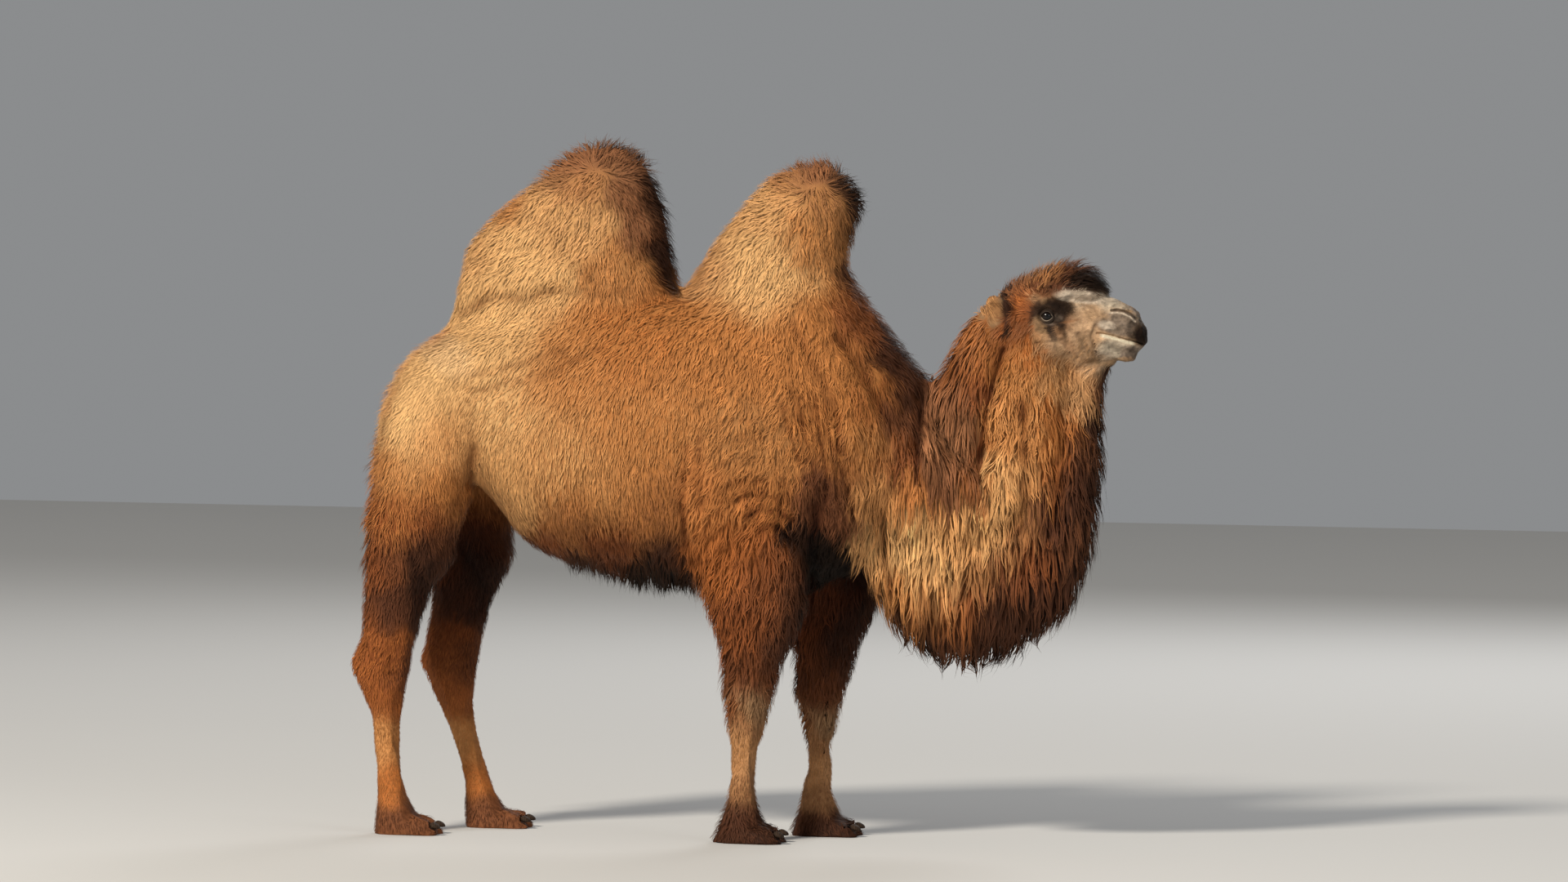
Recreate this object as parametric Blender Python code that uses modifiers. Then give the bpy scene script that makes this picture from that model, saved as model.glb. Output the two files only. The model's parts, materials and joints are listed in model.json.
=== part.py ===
"""A bactrian camel in winter coat, standing still, life size.

Metres. +X runs towards the head, +Y to the animal's left, +Z up. The soles stand on z = 0.
Every form is the outer shape of the coat. The body is lofted mass by mass, fused, and then
parted into its named pieces by thin cuts.
"""

import math

import bmesh
import bpy
import numpy as np
from mathutils import Euler, Matrix, Vector

# ---------------------------------------------------------------- driving sizes
GAP = 0.0004  # left by every cut between two pieces
VOXEL = 0.008  # grid on which the masses are fused
FLESH_TRIANGLES = 2900  # of the fused body, before it is parted
HAIR_VOXEL = 0.012  # grid of the hanging hair masses
RING = 32  # points round a loft
STEPS = 4  # rings between two stations
SHARP = 50  # degrees; edges sharper than this are shaded as edges
CRUMB = 40  # points; less than this, shaved off where a cut runs just under the coat, is left out

HIND_TOE = -0.945  # how far forward the toes reach
FORE_TOE = 0.158
HIND_BROAD = 0.160
FORE_BROAD = 0.190
NAIL_TIP = Vector((0.060, 0, 0.018))  # from a toe's middle to its nail's
NAIL_RADII = (0.021, 0.023, 0.013)
NAIL_SLANT = 34  # degrees
FOOT_APART = 0.205  # from the middle plane to a foot's middle
HIP_APART = 0.20
SHOULDER_APART = 0.195
SPREAD_HEIGHT = 1.30  # above this a leg's middle is no longer led outwards

LEFT_HIND_AHEAD = (  # height, how far the left leg stands ahead of the right one there
    (0.0, 0.222),
    (0.20, 0.200),
    (0.38, 0.157),
    (0.52, 0.145),
    (0.80, 0.150),
    (1.35, 0.0),
)
LEFT_FORE_AHEAD = (
    (0.0, 0.190),
    (0.20, 0.187),
    (0.45, 0.175),
    (0.62, 0.172),
    (0.80, 0.180),
    (1.25, 0.0),
)

CUT_REACH = 0.62  # how far to either side the level and slanted cuts go
CUT_HUMPS = 1.752  # heights of the level cuts
CUT_FOREARM = 0.715
CUT_GASKIN = 0.80
CUT_SHANK = 0.445
CUT_FOOT = 0.125

EYE = Vector((0.952, 0.100, 1.679))
EYE_RADIUS = 0.0215
EYE_MESH = (14, 9)  # segments and rings
EAR_ROOT = Vector((0.822, 0.100, 1.655))
EAR_OUT = 26  # degrees from upright
EAR_BACK = 26

# ---------------------------------------------------------------- stations
# A station is (upper x, upper z, lower x, lower z, half width, place of the widest point from
# the lower end, 0 to 1). Limbs use front and back in place of upper and lower.

# x, top, bottom, half width, widest
TRUNK = (
    (-1.205, 1.33, 1.06, 0.05, 0.50),  # root of the tail
    (-1.165, 1.46, 1.03, 0.17, 0.50),
    (-1.080, 1.556, 1.05, 0.290, 0.52),
    (-0.950, 1.622, 1.12, 0.335, 0.50),
    (-0.880, 1.645, 1.13, 0.355, 0.48),  # hip
    (-0.820, 1.665, 1.075, 0.370, 0.45),  # flank, drawn up before the thigh
    (-0.760, 1.678, 0.985, 0.388, 0.45),
    (-0.680, 1.690, 0.895, 0.405, 0.45),
    (-0.480, 1.705, 0.825, 0.425, 0.42),  # belly
    (-0.250, 1.725, 0.797, 0.425, 0.42),
    (-0.050, 1.72, 0.800, 0.395, 0.44),
    (0.120, 1.715, 0.810, 0.350, 0.46),  # girth
    (0.280, 1.685, 0.830, 0.310, 0.48),
    (0.400, 1.610, 0.870, 0.265, 0.48),  # point of the shoulder
    (0.500, 1.480, 0.940, 0.190, 0.50),
)

# height, front, back, half width
HUMP_REAR = (
    (1.560, -0.20, -1.02, 0.270),
    (1.680, -0.222, -0.965, 0.235),
    (1.770, -0.237, -0.957, 0.205),
    (1.850, -0.250, -0.942, 0.180),
    (1.930, -0.262, -0.893, 0.162),
    (2.010, -0.276, -0.812, 0.145),
    (2.080, -0.292, -0.728, 0.126),
    (2.140, -0.318, -0.655, 0.106),
    (2.185, -0.360, -0.605, 0.080),
    (2.222, -0.430, -0.545, 0.040),
)
HUMP_FRONT = (
    (1.300, 0.64, -0.20, 0.180),
    (1.400, 0.610, -0.24, 0.205),
    (1.480, 0.568, -0.28, 0.232),
    (1.560, 0.508, -0.30, 0.255),
    (1.680, 0.418, -0.248, 0.240),
    (1.770, 0.340, -0.212, 0.205),
    (1.850, 0.314, -0.172, 0.178),
    (1.930, 0.334, -0.115, 0.160),
    (1.990, 0.360, -0.066, 0.148),
    (2.050, 0.356, -0.018, 0.132),
    (2.105, 0.330, 0.030, 0.110),
    (2.145, 0.290, 0.085, 0.078),
    (2.172, 0.240, 0.140, 0.038),
)

# front, back, half width at each height; the right leg, which stands straighter
HIND_LEG = (
    (1.380, -0.880, -1.165, 0.120),
    (1.230, -0.850, -1.198, 0.155),
    (1.080, -0.858, -1.208, 0.160),
    (0.960, -0.898, -1.214, 0.150),
    (0.870, -0.912, -1.218, 0.132),  # stifle
    (0.790, -0.978, -1.216, 0.108),
    (0.700, -1.010, -1.216, 0.096),  # gaskin
    (0.610, -1.032, -1.226, 0.086),
    (0.545, -1.046, -1.246, 0.080),  # hock
    (0.470, -1.064, -1.222, 0.072),
    (0.390, -1.078, -1.184, 0.056),
    (0.310, -1.082, -1.166, 0.043),  # cannon
    (0.210, -1.078, -1.158, 0.043),
    (0.140, -1.060, -1.156, 0.049),  # fetlock
    (0.080, -1.035, -1.158, 0.062),
    (0.035, -1.000, -1.162, 0.074),
    (-0.020, -0.985, -1.160, 0.076),
)
FORE_LEG = (
    (1.280, 0.300, -0.170, 0.120),
    (1.120, 0.300, -0.195, 0.155),
    (0.960, 0.268, -0.180, 0.150),
    (0.840, 0.255, -0.152, 0.138),
    (0.730, 0.222, -0.116, 0.124),  # forearm, with its long hair
    (0.640, 0.182, -0.084, 0.108),
    (0.570, 0.155, -0.056, 0.094),
    (0.500, 0.130, -0.058, 0.086),
    (0.430, 0.112, -0.052, 0.078),  # knee
    (0.370, 0.092, -0.040, 0.064),
    (0.300, 0.068, -0.024, 0.048),
    (0.220, 0.064, -0.020, 0.045),  # cannon
    (0.150, 0.066, -0.036, 0.052),
    (0.090, 0.086, -0.054, 0.068),
    (0.040, 0.110, -0.070, 0.084),
    (-0.020, 0.120, -0.072, 0.086),
)

# upper x, upper z, lower x, lower z, half width: over the nape side, under the throat side
NECK = (
    (0.300, 1.640, 0.300, 0.860, 0.280),
    (0.440, 1.540, 0.420, 0.870, 0.232),
    (0.560, 1.400, 0.560, 0.870, 0.190),
    (0.655, 1.285, 0.700, 0.880, 0.168),
    (0.715, 1.235, 0.845, 0.940, 0.155),
    (0.740, 1.260, 0.965, 1.045, 0.145),
    (0.748, 1.350, 1.030, 1.220, 0.136),
    (0.745, 1.450, 1.040, 1.370, 0.130),
    (0.752, 1.560, 1.030, 1.470, 0.124),
    (0.790, 1.640, 1.000, 1.540, 0.110),
)
MANE = (  # height, front, back, half width
    (1.715, 0.800, 0.735, 0.040),
    (1.661, 0.820, 0.680, 0.070),
    (1.600, 0.840, 0.640, 0.090),
    (1.540, 0.840, 0.605, 0.102),
    (1.470, 0.840, 0.575, 0.112),
    (1.390, 0.840, 0.545, 0.118),
    (1.290, 0.840, 0.560, 0.118),
    (1.200, 0.820, 0.620, 0.108),
)
BEARD = (
    (0.380, 1.060, 0.372, 0.830, 0.110),
    (0.450, 1.060, 0.436, 0.715, 0.145),
    (0.550, 1.060, 0.540, 0.612, 0.150),
    (0.670, 1.060, 0.690, 0.580, 0.148),
    (0.750, 1.080, 0.830, 0.605, 0.142),
    (0.820, 1.120, 0.970, 0.690, 0.132),
    (0.860, 1.180, 1.075, 0.820, 0.120),
    (0.870, 1.250, 1.130, 1.020, 0.102),
    (0.880, 1.320, 1.146, 1.230, 0.094),
    (0.890, 1.400, 1.136, 1.370, 0.082),
    (0.920, 1.465, 1.140, 1.450, 0.066),
    (0.960, 1.510, 1.162, 1.505, 0.050),
    (1.000, 1.560, 1.172, 1.556, 0.036),  # under the chin
)

# x, top, bottom, half width, widest
SKULL = (
    (0.735, 1.690, 1.500, 0.080, 0.60),
    (0.790, 1.752, 1.465, 0.116, 0.62),  # poll
    (0.860, 1.778, 1.450, 0.126, 0.65),
    (0.930, 1.782, 1.455, 0.122, 0.72),  # brow
    (0.990, 1.770, 1.470, 0.104, 0.70),
    (1.050, 1.758, 1.490, 0.086, 0.60),
    (1.110, 1.750, 1.520, 0.074, 0.52),  # bridge of the nose
    (1.160, 1.738, 1.545, 0.069, 0.50),
    (1.205, 1.712, 1.560, 0.066, 0.48),  # nostrils
    (1.240, 1.672, 1.576, 0.054, 0.44),
    (1.262, 1.640, 1.594, 0.032, 0.40),
)
TOPKNOT = (
    (0.775, 1.752, 1.690, 0.045, 0.50),
    (0.820, 1.790, 1.690, 0.086, 0.50),
    (0.880, 1.826, 1.690, 0.108, 0.50),
    (0.950, 1.858, 1.700, 0.114, 0.50),
    (1.020, 1.872, 1.705, 0.108, 0.50),
    (1.080, 1.858, 1.715, 0.090, 0.50),
    (1.118, 1.824, 1.730, 0.058, 0.50),
    (1.136, 1.788, 1.750, 0.026, 0.50),
)
TAIL = (  # height, front, back, half width
    (1.430, -1.130, -1.186, 0.030),
    (1.360, -1.150, -1.220, 0.036),
    (1.240, -1.165, -1.244, 0.040),
    (1.120, -1.175, -1.254, 0.044),
    (1.000, -1.180, -1.256, 0.048),
    (0.900, -1.188, -1.252, 0.040),
    (0.820, -1.208, -1.238, 0.016),
)

# side-view outlines (x, z) of what belongs to a right leg
THIGH_SEAM = (
    (-1.50, -0.05),
    (-0.82, -0.05),
    (-0.835, 0.98),
    (-0.876, 1.13),
    (-0.915, 1.30),
    (-1.02, 1.42),
    (-1.50, 1.42),
)
ARM_SEAM = (
    (-0.235, -0.05),
    (0.32, -0.05),
    (0.315, 0.84),
    (0.285, 1.02),
    (0.10, 1.13),
    (-0.16, 1.10),
    (-0.235, 1.02),
)

COATS = {  # colour, roughness
    "flank": ((0.47, 0.24, 0.09), 0.85),
    "hump": ((0.40, 0.19, 0.07), 0.85),
    "leg": ((0.27, 0.10, 0.035), 0.85),
    "dark": ((0.16, 0.07, 0.03), 0.85),
    "face": ((0.50, 0.36, 0.24), 0.80),
    "nail": ((0.09, 0.06, 0.045), 0.45),
    "eye": ((0.015, 0.010, 0.008), 0.08),
}


# ---------------------------------------------------------------- tools
def clear_scene():
    for obj in list(bpy.data.objects):
        bpy.data.objects.remove(obj, do_unlink=True)


def collection(name):
    made = bpy.data.collections.new(name)
    bpy.context.scene.collection.children.link(made)
    return made


def coat(name):
    colour, roughness = COATS[name]
    found = bpy.data.materials.get(name)
    if found is None:
        found = bpy.data.materials.new(name)
        found.use_nodes = True
        shader = found.node_tree.nodes["Principled BSDF"]
        shader.inputs["Base Color"].default_value = (*colour, 1.0)
        shader.inputs["Roughness"].default_value = roughness
    return found


def add_object(name, mesh, home):
    obj = bpy.data.objects.new(name, mesh)
    home.objects.link(obj)
    return obj


def object_from_bmesh(name, made, home):
    bmesh.ops.recalc_face_normals(made, faces=made.faces)
    mesh = bpy.data.meshes.new(name)
    made.to_mesh(mesh)
    made.free()
    return add_object(name, mesh, home)


def between(rows, steps=STEPS):
    """The rows with steps - 1 more between each two, on a Catmull-Rom curve."""
    table = np.array(rows, float)
    padded = np.vstack([2 * table[0] - table[1], table, 2 * table[-1] - table[-2]])
    found = []
    for i in range(1, len(padded) - 2):
        a, b, c, d = padded[i - 1 : i + 3]
        for t in np.arange(steps) / steps:
            cubic = -a + 3 * b - 3 * c + d
            square = 2 * a - 5 * b + 4 * c - d
            found.append(0.5 * (2 * b + (c - a) * t + square * t**2 + cubic * t**3))
    found.append(table[-1])
    return found


def loft(name, stations, home, side=0.0, power=2.0, shift=lambda z: 0.0):
    """A closed body through rings that each hang between an upper and a lower point.

    side is its middle's y, or a function of height. power squares the ring up as it passes 2.
    """
    made = bmesh.new()
    rings = []
    for row in between(stations):
        upper, lower, half_width, widest = row[0:2], row[2:4], max(row[4], 0.003), row[5]
        heart = lower + (upper - lower) * widest
        y = side(heart[1]) if callable(side) else side
        ring = []
        for turn in np.arange(RING) * 2 * math.pi / RING:
            across = math.copysign(abs(math.cos(turn)) ** (2 / power), math.cos(turn))
            along = math.copysign(abs(math.sin(turn)) ** (2 / power), math.sin(turn))
            x, z = heart + ((upper if along > 0 else lower) - heart) * abs(along)
            ring.append(made.verts.new((x + shift(z), y + across * half_width, z)))
        rings.append(ring)
    for first, second in zip(rings, rings[1:]):
        for i in range(RING):
            j = (i + 1) % RING
            made.faces.new((first[i], first[j], second[j], second[i]))
    made.faces.new(rings[0])
    made.faces.new(rings[-1])
    return object_from_bmesh(name, made, home)


def upright(rows):
    """Stations from (x, top, bottom, half width, widest)."""
    return [(x, top, x, low, wide, widest) for x, top, low, wide, widest in rows]


def level(rows):
    """Stations from (height, front, back, half width)."""
    return [(front, z, back, z, wide, 0.5) for z, front, back, wide in rows]


def hanging(rows):
    """Stations from (upper x, upper z, lower x, lower z, half width)."""
    return [(*row, 0.5) for row in rows]


def ball(name, centre, radii, home, turn=(0, 0, 0), segments=24, rings=14):
    made = bmesh.new()
    bmesh.ops.create_uvsphere(made, u_segments=segments, v_segments=rings, radius=1.0)
    obj = object_from_bmesh(name, made, home)
    place = Matrix.Translation(centre)
    spin = Euler([math.radians(a) for a in turn]).to_matrix().to_4x4()
    obj.data.transform(place @ spin @ Matrix.Diagonal((*radii, 1.0)))
    return obj


def prism(name, outline, y_from, y_to, home):
    """A side-view outline of (x, z) points, carried from y_from to y_to."""
    made = bmesh.new()
    ends = [[made.verts.new((x, y, z)) for x, z in outline] for y in (y_from, y_to)]
    made.faces.new(ends[0])
    made.faces.new(ends[1])
    for i in range(len(outline)):
        j = (i + 1) % len(outline)
        made.faces.new((ends[0][i], ends[0][j], ends[1][j], ends[1][i]))
    return object_from_bmesh(name, made, home)


def box(name, low, high, home):
    made = bmesh.new()
    bmesh.ops.create_cube(made, size=1.0)
    obj = object_from_bmesh(name, made, home)
    low, high = Vector(low), Vector(high)
    obj.data.transform(Matrix.Translation((low + high) / 2) @ Matrix.Diagonal((*(high - low), 1.0)))
    return obj


def settle(obj):
    """Applies the object's modifiers to its mesh."""
    bpy.context.view_layer.update()
    graph = bpy.context.evaluated_depsgraph_get()
    mesh = bpy.data.meshes.new_from_object(obj.evaluated_get(graph))
    obj.modifiers.clear()
    obj.data = mesh
    return obj


def join(name, objects, home):
    made = bmesh.new()
    for obj in objects:
        made.from_mesh(obj.data)
        bpy.data.objects.remove(obj, do_unlink=True)
    return object_from_bmesh(name, made, home)


def fuse(obj, voxel, rounds, triangles, keep=None):
    """One smooth skin round all of obj, brought down to about that many triangles."""
    remesh = obj.modifiers.new("fuse", "REMESH")
    remesh.mode = "VOXEL"
    remesh.voxel_size = voxel
    smooth = obj.modifiers.new("smooth", "SMOOTH")
    smooth.iterations = rounds
    settle(obj)
    if keep:
        group = obj.vertex_groups.new(name="thin_out")
        for vertex in obj.data.vertices:
            group.add([vertex.index], 1.0 - keep(vertex.co), "REPLACE")
    obj.data.calc_loop_triangles()
    thin = obj.modifiers.new("thin", "DECIMATE")
    thin.ratio = triangles / len(obj.data.loop_triangles)
    thin.use_collapse_triangulate = True
    if keep:
        thin.vertex_group = "thin_out"
        thin.vertex_group_factor = 1.0
    settle(obj)
    obj.vertex_groups.clear()
    return obj


def cut(obj, tool, operation="DIFFERENCE"):
    change = obj.modifiers.new("cut", "BOOLEAN")
    change.operation = operation
    change.object = tool
    settle(obj)
    bpy.data.objects.remove(tool, do_unlink=True)
    return obj


def shell_of(tool):
    """Turns a closed tool into its own thin wall, which parts what it cuts."""
    wall = tool.modifiers.new("wall", "SOLIDIFY")
    wall.thickness = GAP
    wall.offset = 0.0
    wall.use_even_offset = True
    return settle(tool)


def grown(obj, by, home):
    """A copy of obj whose surface stands out by that much."""
    made = bmesh.new()
    made.from_mesh(obj.data)
    made.normal_update()
    places = [v.co + v.normal * by * v.calc_shell_factor() for v in made.verts]
    for vertex, place in zip(made.verts, places):
        vertex.co = place
    return object_from_bmesh(obj.name + "_grown", made, home)


def loose_parts(obj):
    """Vertex index lists, one for each body in the mesh."""
    made = bmesh.new()
    made.from_mesh(obj.data)
    made.verts.ensure_lookup_table()
    seen = set()
    parts = []
    for start in made.verts:
        if start in seen:
            continue
        seen.add(start)
        todo, part = [start], []
        while todo:
            vertex = todo.pop()
            part.append(vertex.index)
            for edge in vertex.link_edges:
                other = edge.other_vert(vertex)
                if other not in seen:
                    seen.add(other)
                    todo.append(other)
        parts.append(part)
    made.free()
    return parts


def part_mesh(obj, indices, name):
    made = bmesh.new()
    made.from_mesh(obj.data)
    made.verts.ensure_lookup_table()
    inside = set(indices)
    bmesh.ops.delete(made, geom=[v for v in made.verts if v.index not in inside], context="VERTS")
    mesh = bpy.data.meshes.new(name)
    made.to_mesh(mesh)
    made.free()
    for slot in obj.data.materials:
        mesh.materials.append(slot)
    return mesh


# ---------------------------------------------------------------- the body's masses
def lead(table):
    """How far forward a limb is at each height."""
    heights, ahead = zip(*table)
    return lambda z: float(np.interp(z, heights, ahead))


SIDES = (  # word, side, lead of the hind leg and of the foreleg
    ("right", -1, lead(((0, 0), (1, 0))), lead(((0, 0), (1, 0)))),
    ("left", 1, lead(LEFT_HIND_AHEAD), lead(LEFT_FORE_AHEAD)),
)


def limb(name, rows, side, top_apart, ahead, home):
    """A leg that spreads evenly from its joint down to its foot."""

    def apart(z):
        share = max(0.0, min(1.0, z / SPREAD_HEIGHT))
        return side * (FOOT_APART + (top_apart - FOOT_APART) * share)

    return loft(name, level(rows), home, side=apart, power=2.2, shift=ahead)


def toe_middles(side, front, broad):
    """Where the two toes of a foot lie, and which way each points."""
    return [
        (Vector((front - 0.072, side * FOOT_APART + hand * broad / 4.1, 0.012)), hand * 7)
        for hand in (-1, 1)
    ]


def toes(side, front, broad, home):
    """The two toes of a foot, ending at front, on one broad sole."""
    return [
        ball("toe", middle, (0.074, broad / 3.7, 0.052), home, (0, 0, turn))
        for middle, turn in toe_middles(side, front, broad)
    ]


def nail(middle, turn, home):
    """A short broad nail over the tip of a toe."""
    tip = middle + Matrix.Rotation(math.radians(turn), 3, "Z") @ NAIL_TIP
    return ball("nail", tip, NAIL_RADII, home, (0, NAIL_SLANT, turn), segments=8, rings=5)


def flesh_masses(home):
    masses = [
        loft("trunk", upright(TRUNK), home, power=2.25),
        loft("hump_rear", level(HUMP_REAR), home),
        loft("hump_front", level(HUMP_FRONT), home),
        loft("neck", hanging(NECK), home),
        loft("skull", upright(SKULL), home, power=2.2),
        ball("sternal_pad", (0.06, 0, 0.82), (0.17, 0.10, 0.085), home),
    ]
    for word, side, hind, fore in SIDES:
        masses += [
            limb("hind", HIND_LEG, side, HIP_APART, hind, home),
            limb("fore", FORE_LEG, side, SHOULDER_APART, fore, home),
            *toes(side, HIND_TOE + hind(0), HIND_BROAD, home),
            *toes(side, FORE_TOE + fore(0), FORE_BROAD, home),
        ]
        masses += face_masses(side, home)
    return masses


def face_masses(side, home):
    """Brow, cheek, nostril wing and lips of one side."""
    return [
        ball("brow", (0.935, side * 0.088, 1.722), (0.062, 0.034, 0.024), home, (0, 4, side * -14)),
        ball("cheek", (0.905, side * 0.078, 1.590), (0.085, 0.042, 0.085), home),
        ball("nostril", (1.190, side * 0.042, 1.690), (0.050, 0.022, 0.026), home, (0, 22, 0)),
        ball("upper_lip", (1.208, side * 0.030, 1.635), (0.052, 0.038, 0.036), home, (0, 16, 0)),
        ball("lower_lip", (1.186, side * 0.018, 1.568), (0.046, 0.036, 0.030), home, (0, 12, 0)),
    ]


def head_weight(place):
    """How much of its detail the mesh keeps: all on the face, some on the feet."""
    if place.x > 0.80 and place.z > 1.45:
        return 0.93
    if place.z < 0.16:
        return 0.75
    return 0.35


def ear(side, home):
    """A short round ear, laid back and cupped outwards."""
    name = "ear_left" if side > 0 else "ear_right"
    blade = ball(name, (0, 0, 0.048), (0.040, 0.019, 0.058), home, segments=12, rings=8)
    hollow = ball("hollow", (-0.004, side * 0.019, 0.056), (0.027, 0.015, 0.042), home, (0, 0, 0), 10, 7)
    cut(blade, hollow)
    root = Matrix.Translation(EAR_ROOT * Vector((1, side, 1)))
    out = Matrix.Rotation(math.radians(-side * EAR_OUT), 4, "X")
    blade.data.transform(root @ out @ Matrix.Rotation(math.radians(-EAR_BACK), 4, "Y"))
    return blade


def keep_biggest(obj):
    """Leaves out the crumbs that a cut running just under the coat shaves off."""
    obj.data = part_mesh(obj, max(loose_parts(obj), key=len), obj.name)
    return obj


def finish(obj, slot, home):
    """Moves a piece to the part's own collection, with its slot's material and smooth shading."""
    obj.data.materials.clear()
    obj.data.materials.append(coat(slot))
    for old in list(obj.users_collection):
        old.objects.unlink(obj)
    home.objects.link(obj)
    obj.data.shade_smooth()
    obj.data.set_sharp_from_angle(angle=math.radians(SHARP))
    return obj


# ---------------------------------------------------------------- cutting it apart
def leg_region(outline, side, ahead, work):
    """Everything of one leg below a seam, as a thin closed wall."""
    led = [(x + ahead(z), z) for x, z in outline]
    return shell_of(prism("region", led, side * 0.045, side * 0.60, work))


def part_flesh(flesh, work):
    """All the thin cuts through the fused body."""
    for word, side, hind, fore in SIDES:
        cut(flesh, leg_region(THIGH_SEAM, side, hind, work))
        cut(flesh, leg_region(ARM_SEAM, side, fore, work))
    flats = (
        # name, height, from x, to x
        ("humps", CUT_HUMPS, -1.10, 0.56),
        ("forearm", CUT_FOREARM, -0.40, 0.60),
        ("gaskin", CUT_GASKIN, -1.45, -0.62),
        ("shank", CUT_SHANK, -1.45, 0.60),
        ("foot", CUT_FOOT, -1.45, 0.60),
    )
    for name, height, start, end in flats:
        cut(flesh, box(name, (start, -CUT_REACH, height), (end, CUT_REACH, height + GAP), work))
    slants = (
        ("shoulder", (0.520, 1.66), (0.330, 0.76)),
        ("neck", (0.690, 1.32), (0.905, 0.84)),
        ("nape", (0.690, 1.735), (1.130, 1.36)),
    )
    for name, upper, lower in slants:
        cut(flesh, slanted(name, upper, lower, work))


def slanted(name, upper, lower, work):
    """A thin slab through two side-view points."""
    along = Vector((upper[0] - lower[0], upper[1] - lower[1])).normalized()
    off = Vector((-along.y, along.x)) * GAP / 2
    corners = [Vector(upper) + off, Vector(lower) + off, Vector(lower) - off, Vector(upper) - off]
    return prism(name, [tuple(c) for c in corners], -CUT_REACH, CUT_REACH, work)


SEEDS = {  # a point in each piece of the parted body, and its coat
    "trunk": ((-0.35, 0, 1.25), "flank"),
    "hump_front": ((0.15, 0, 1.90), "hump"),
    "hump_rear": ((-0.55, 0, 1.90), "hump"),
    "neck_lower": ((0.58, 0, 1.15), "hump"),
    "neck_upper": ((0.89, 0, 1.32), "hump"),
    "head": ((0.96, 0, 1.66), "face"),
}


def leg_seeds():
    """The same for the four legs, piece by piece."""
    found = {}
    for word, side, behind, before in SIDES:
        rows = (
            ("hind_thigh", -1.03, behind, 1.08, "leg"),
            ("hind_gaskin", -1.12, behind, 0.62, "leg"),
            ("hind_shank", -1.13, behind, 0.27, "leg"),
            ("hind_foot", -1.08, behind, 0.05, "dark"),
            ("fore_arm", 0.05, before, 0.90, "leg"),
            ("fore_forearm", 0.05, before, 0.57, "leg"),
            ("fore_shank", 0.02, before, 0.27, "leg"),
            ("fore_foot", 0.04, before, 0.05, "dark"),
        )
        for name, x, ahead, z, slot in rows:
            found[f"{name}_{word}"] = ((x + ahead(z), side * 0.2, z), slot)
    return found


def name_pieces(flesh, home):
    """Makes each loose body of the parted mesh the named piece whose point is nearest."""
    seeds = {**SEEDS, **leg_seeds()}
    parts = loose_parts(flesh)
    places = [v.co.copy() for v in flesh.data.vertices]
    made = {}
    for part in sorted(parts, key=len, reverse=True):
        if len(part) < CRUMB:
            continue
        corners = np.array([places[i] for i in part])
        middle = Vector((corners.min(0) + corners.max(0)) / 2)
        name = min(seeds, key=lambda n: (Vector(seeds[n][0]) - middle).length)
        if name in made:
            raise RuntimeError(f"two pieces are nearest to {name}: {len(part)} points at {middle}")
        piece = add_object(name, part_mesh(flesh, part, name), home)
        made[name] = finish(piece, seeds[name][1], home)
    missing = set(seeds) - set(made)
    if missing:
        raise RuntimeError(f"no piece for {sorted(missing)}")
    bpy.data.objects.remove(flesh, do_unlink=True)
    return made


# ---------------------------------------------------------------- hair masses and fittings
def hair_mass(name, obj, flesh_grown, slot, triangles, home):
    fuse(obj, HAIR_VOXEL, 6, triangles)
    cut(obj, flesh_grown)
    keep_biggest(obj)
    obj.name = name
    return finish(obj, slot, home)


def centre(home):
    """Brings the origin under the middle of the whole."""
    corners = np.array([v.co for obj in home.objects for v in obj.data.vertices])
    middle = (corners.min(0) + corners.max(0)) / 2
    for obj in home.objects:
        obj.data.transform(Matrix.Translation((-middle[0], -middle[1], 0)))


def main():
    clear_scene()
    home = collection("bactrian_camel")
    work = collection("work")
    work.hide_render = True

    flesh = join("flesh", flesh_masses(work), work)
    fuse(flesh, VOXEL, 9, FLESH_TRIANGLES, keep=head_weight)
    cut(flesh, box("floor", (-2, -1, -0.5), (2, 1, 0.0), work))

    hair = (
        ("mane", loft("mane", level(MANE), work), "dark", 170),
        ("beard", loft("beard", hanging(BEARD), work), "dark", 330),
        ("topknot", loft("topknot", upright(TOPKNOT), work), "dark", 170),
        ("tail", loft("tail", level(TAIL), work), "hump", 130),
    )
    for name, mass, slot, triangles in hair:
        hair_mass(name, mass, grown(flesh, GAP, work), slot, triangles, home)
    part_flesh(flesh, work)
    pieces = name_pieces(flesh, home)
    for side in (-1, 1):
        word = "left" if side > 0 else "right"
        place = EYE * Vector((1, side, 1))
        socket = ball("socket", place, [EYE_RADIUS + GAP] * 3, work, (0, 0, 0), *EYE_MESH)
        cut(pieces["head"], socket)
        finish(ball(f"eye_{word}", place, [EYE_RADIUS] * 3, work, (0, 0, 0), *EYE_MESH), "eye", home)
        made = ear(side, work)
        cut(pieces["head"], grown(made, GAP, work))
        finish(made, "face", home)
    for word, side, hind, fore in SIDES:
        for limb_name, front, broad in (
            ("hind", HIND_TOE + hind(0), HIND_BROAD),
            ("fore", FORE_TOE + fore(0), FORE_BROAD),
        ):
            foot = pieces[f"{limb_name}_foot_{word}"]
            for hand, (middle, turn) in zip(("right", "left"), toe_middles(side, front, broad)):
                made = nail(middle, turn, work)
                cut(foot, grown(made, GAP, work))
                made.name = f"{limb_name}_nail_{word}_{hand}"
                finish(made, "nail", home)
    keep_biggest(pieces["head"])
    centre(home)


main()
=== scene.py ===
"""The looks of the bactrian camel: skin, coat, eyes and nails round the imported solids.

Metres, in the frame's own axes: +X towards the head, +Y to the animal's left, +Z up.
The solids are the coat's outer surface. The skin lies inside it by the coat's depth, and the coat
is made of closed, tapered locks that grow from the skin and end about at the solids' surface.
"""

import json
import math
from functools import cache
from types import SimpleNamespace

import bmesh
import bpy
import numpy as np
from mathutils import Matrix, Vector
from mathutils.bvhtree import BVHTree
from mathutils.kdtree import KDTree

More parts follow.
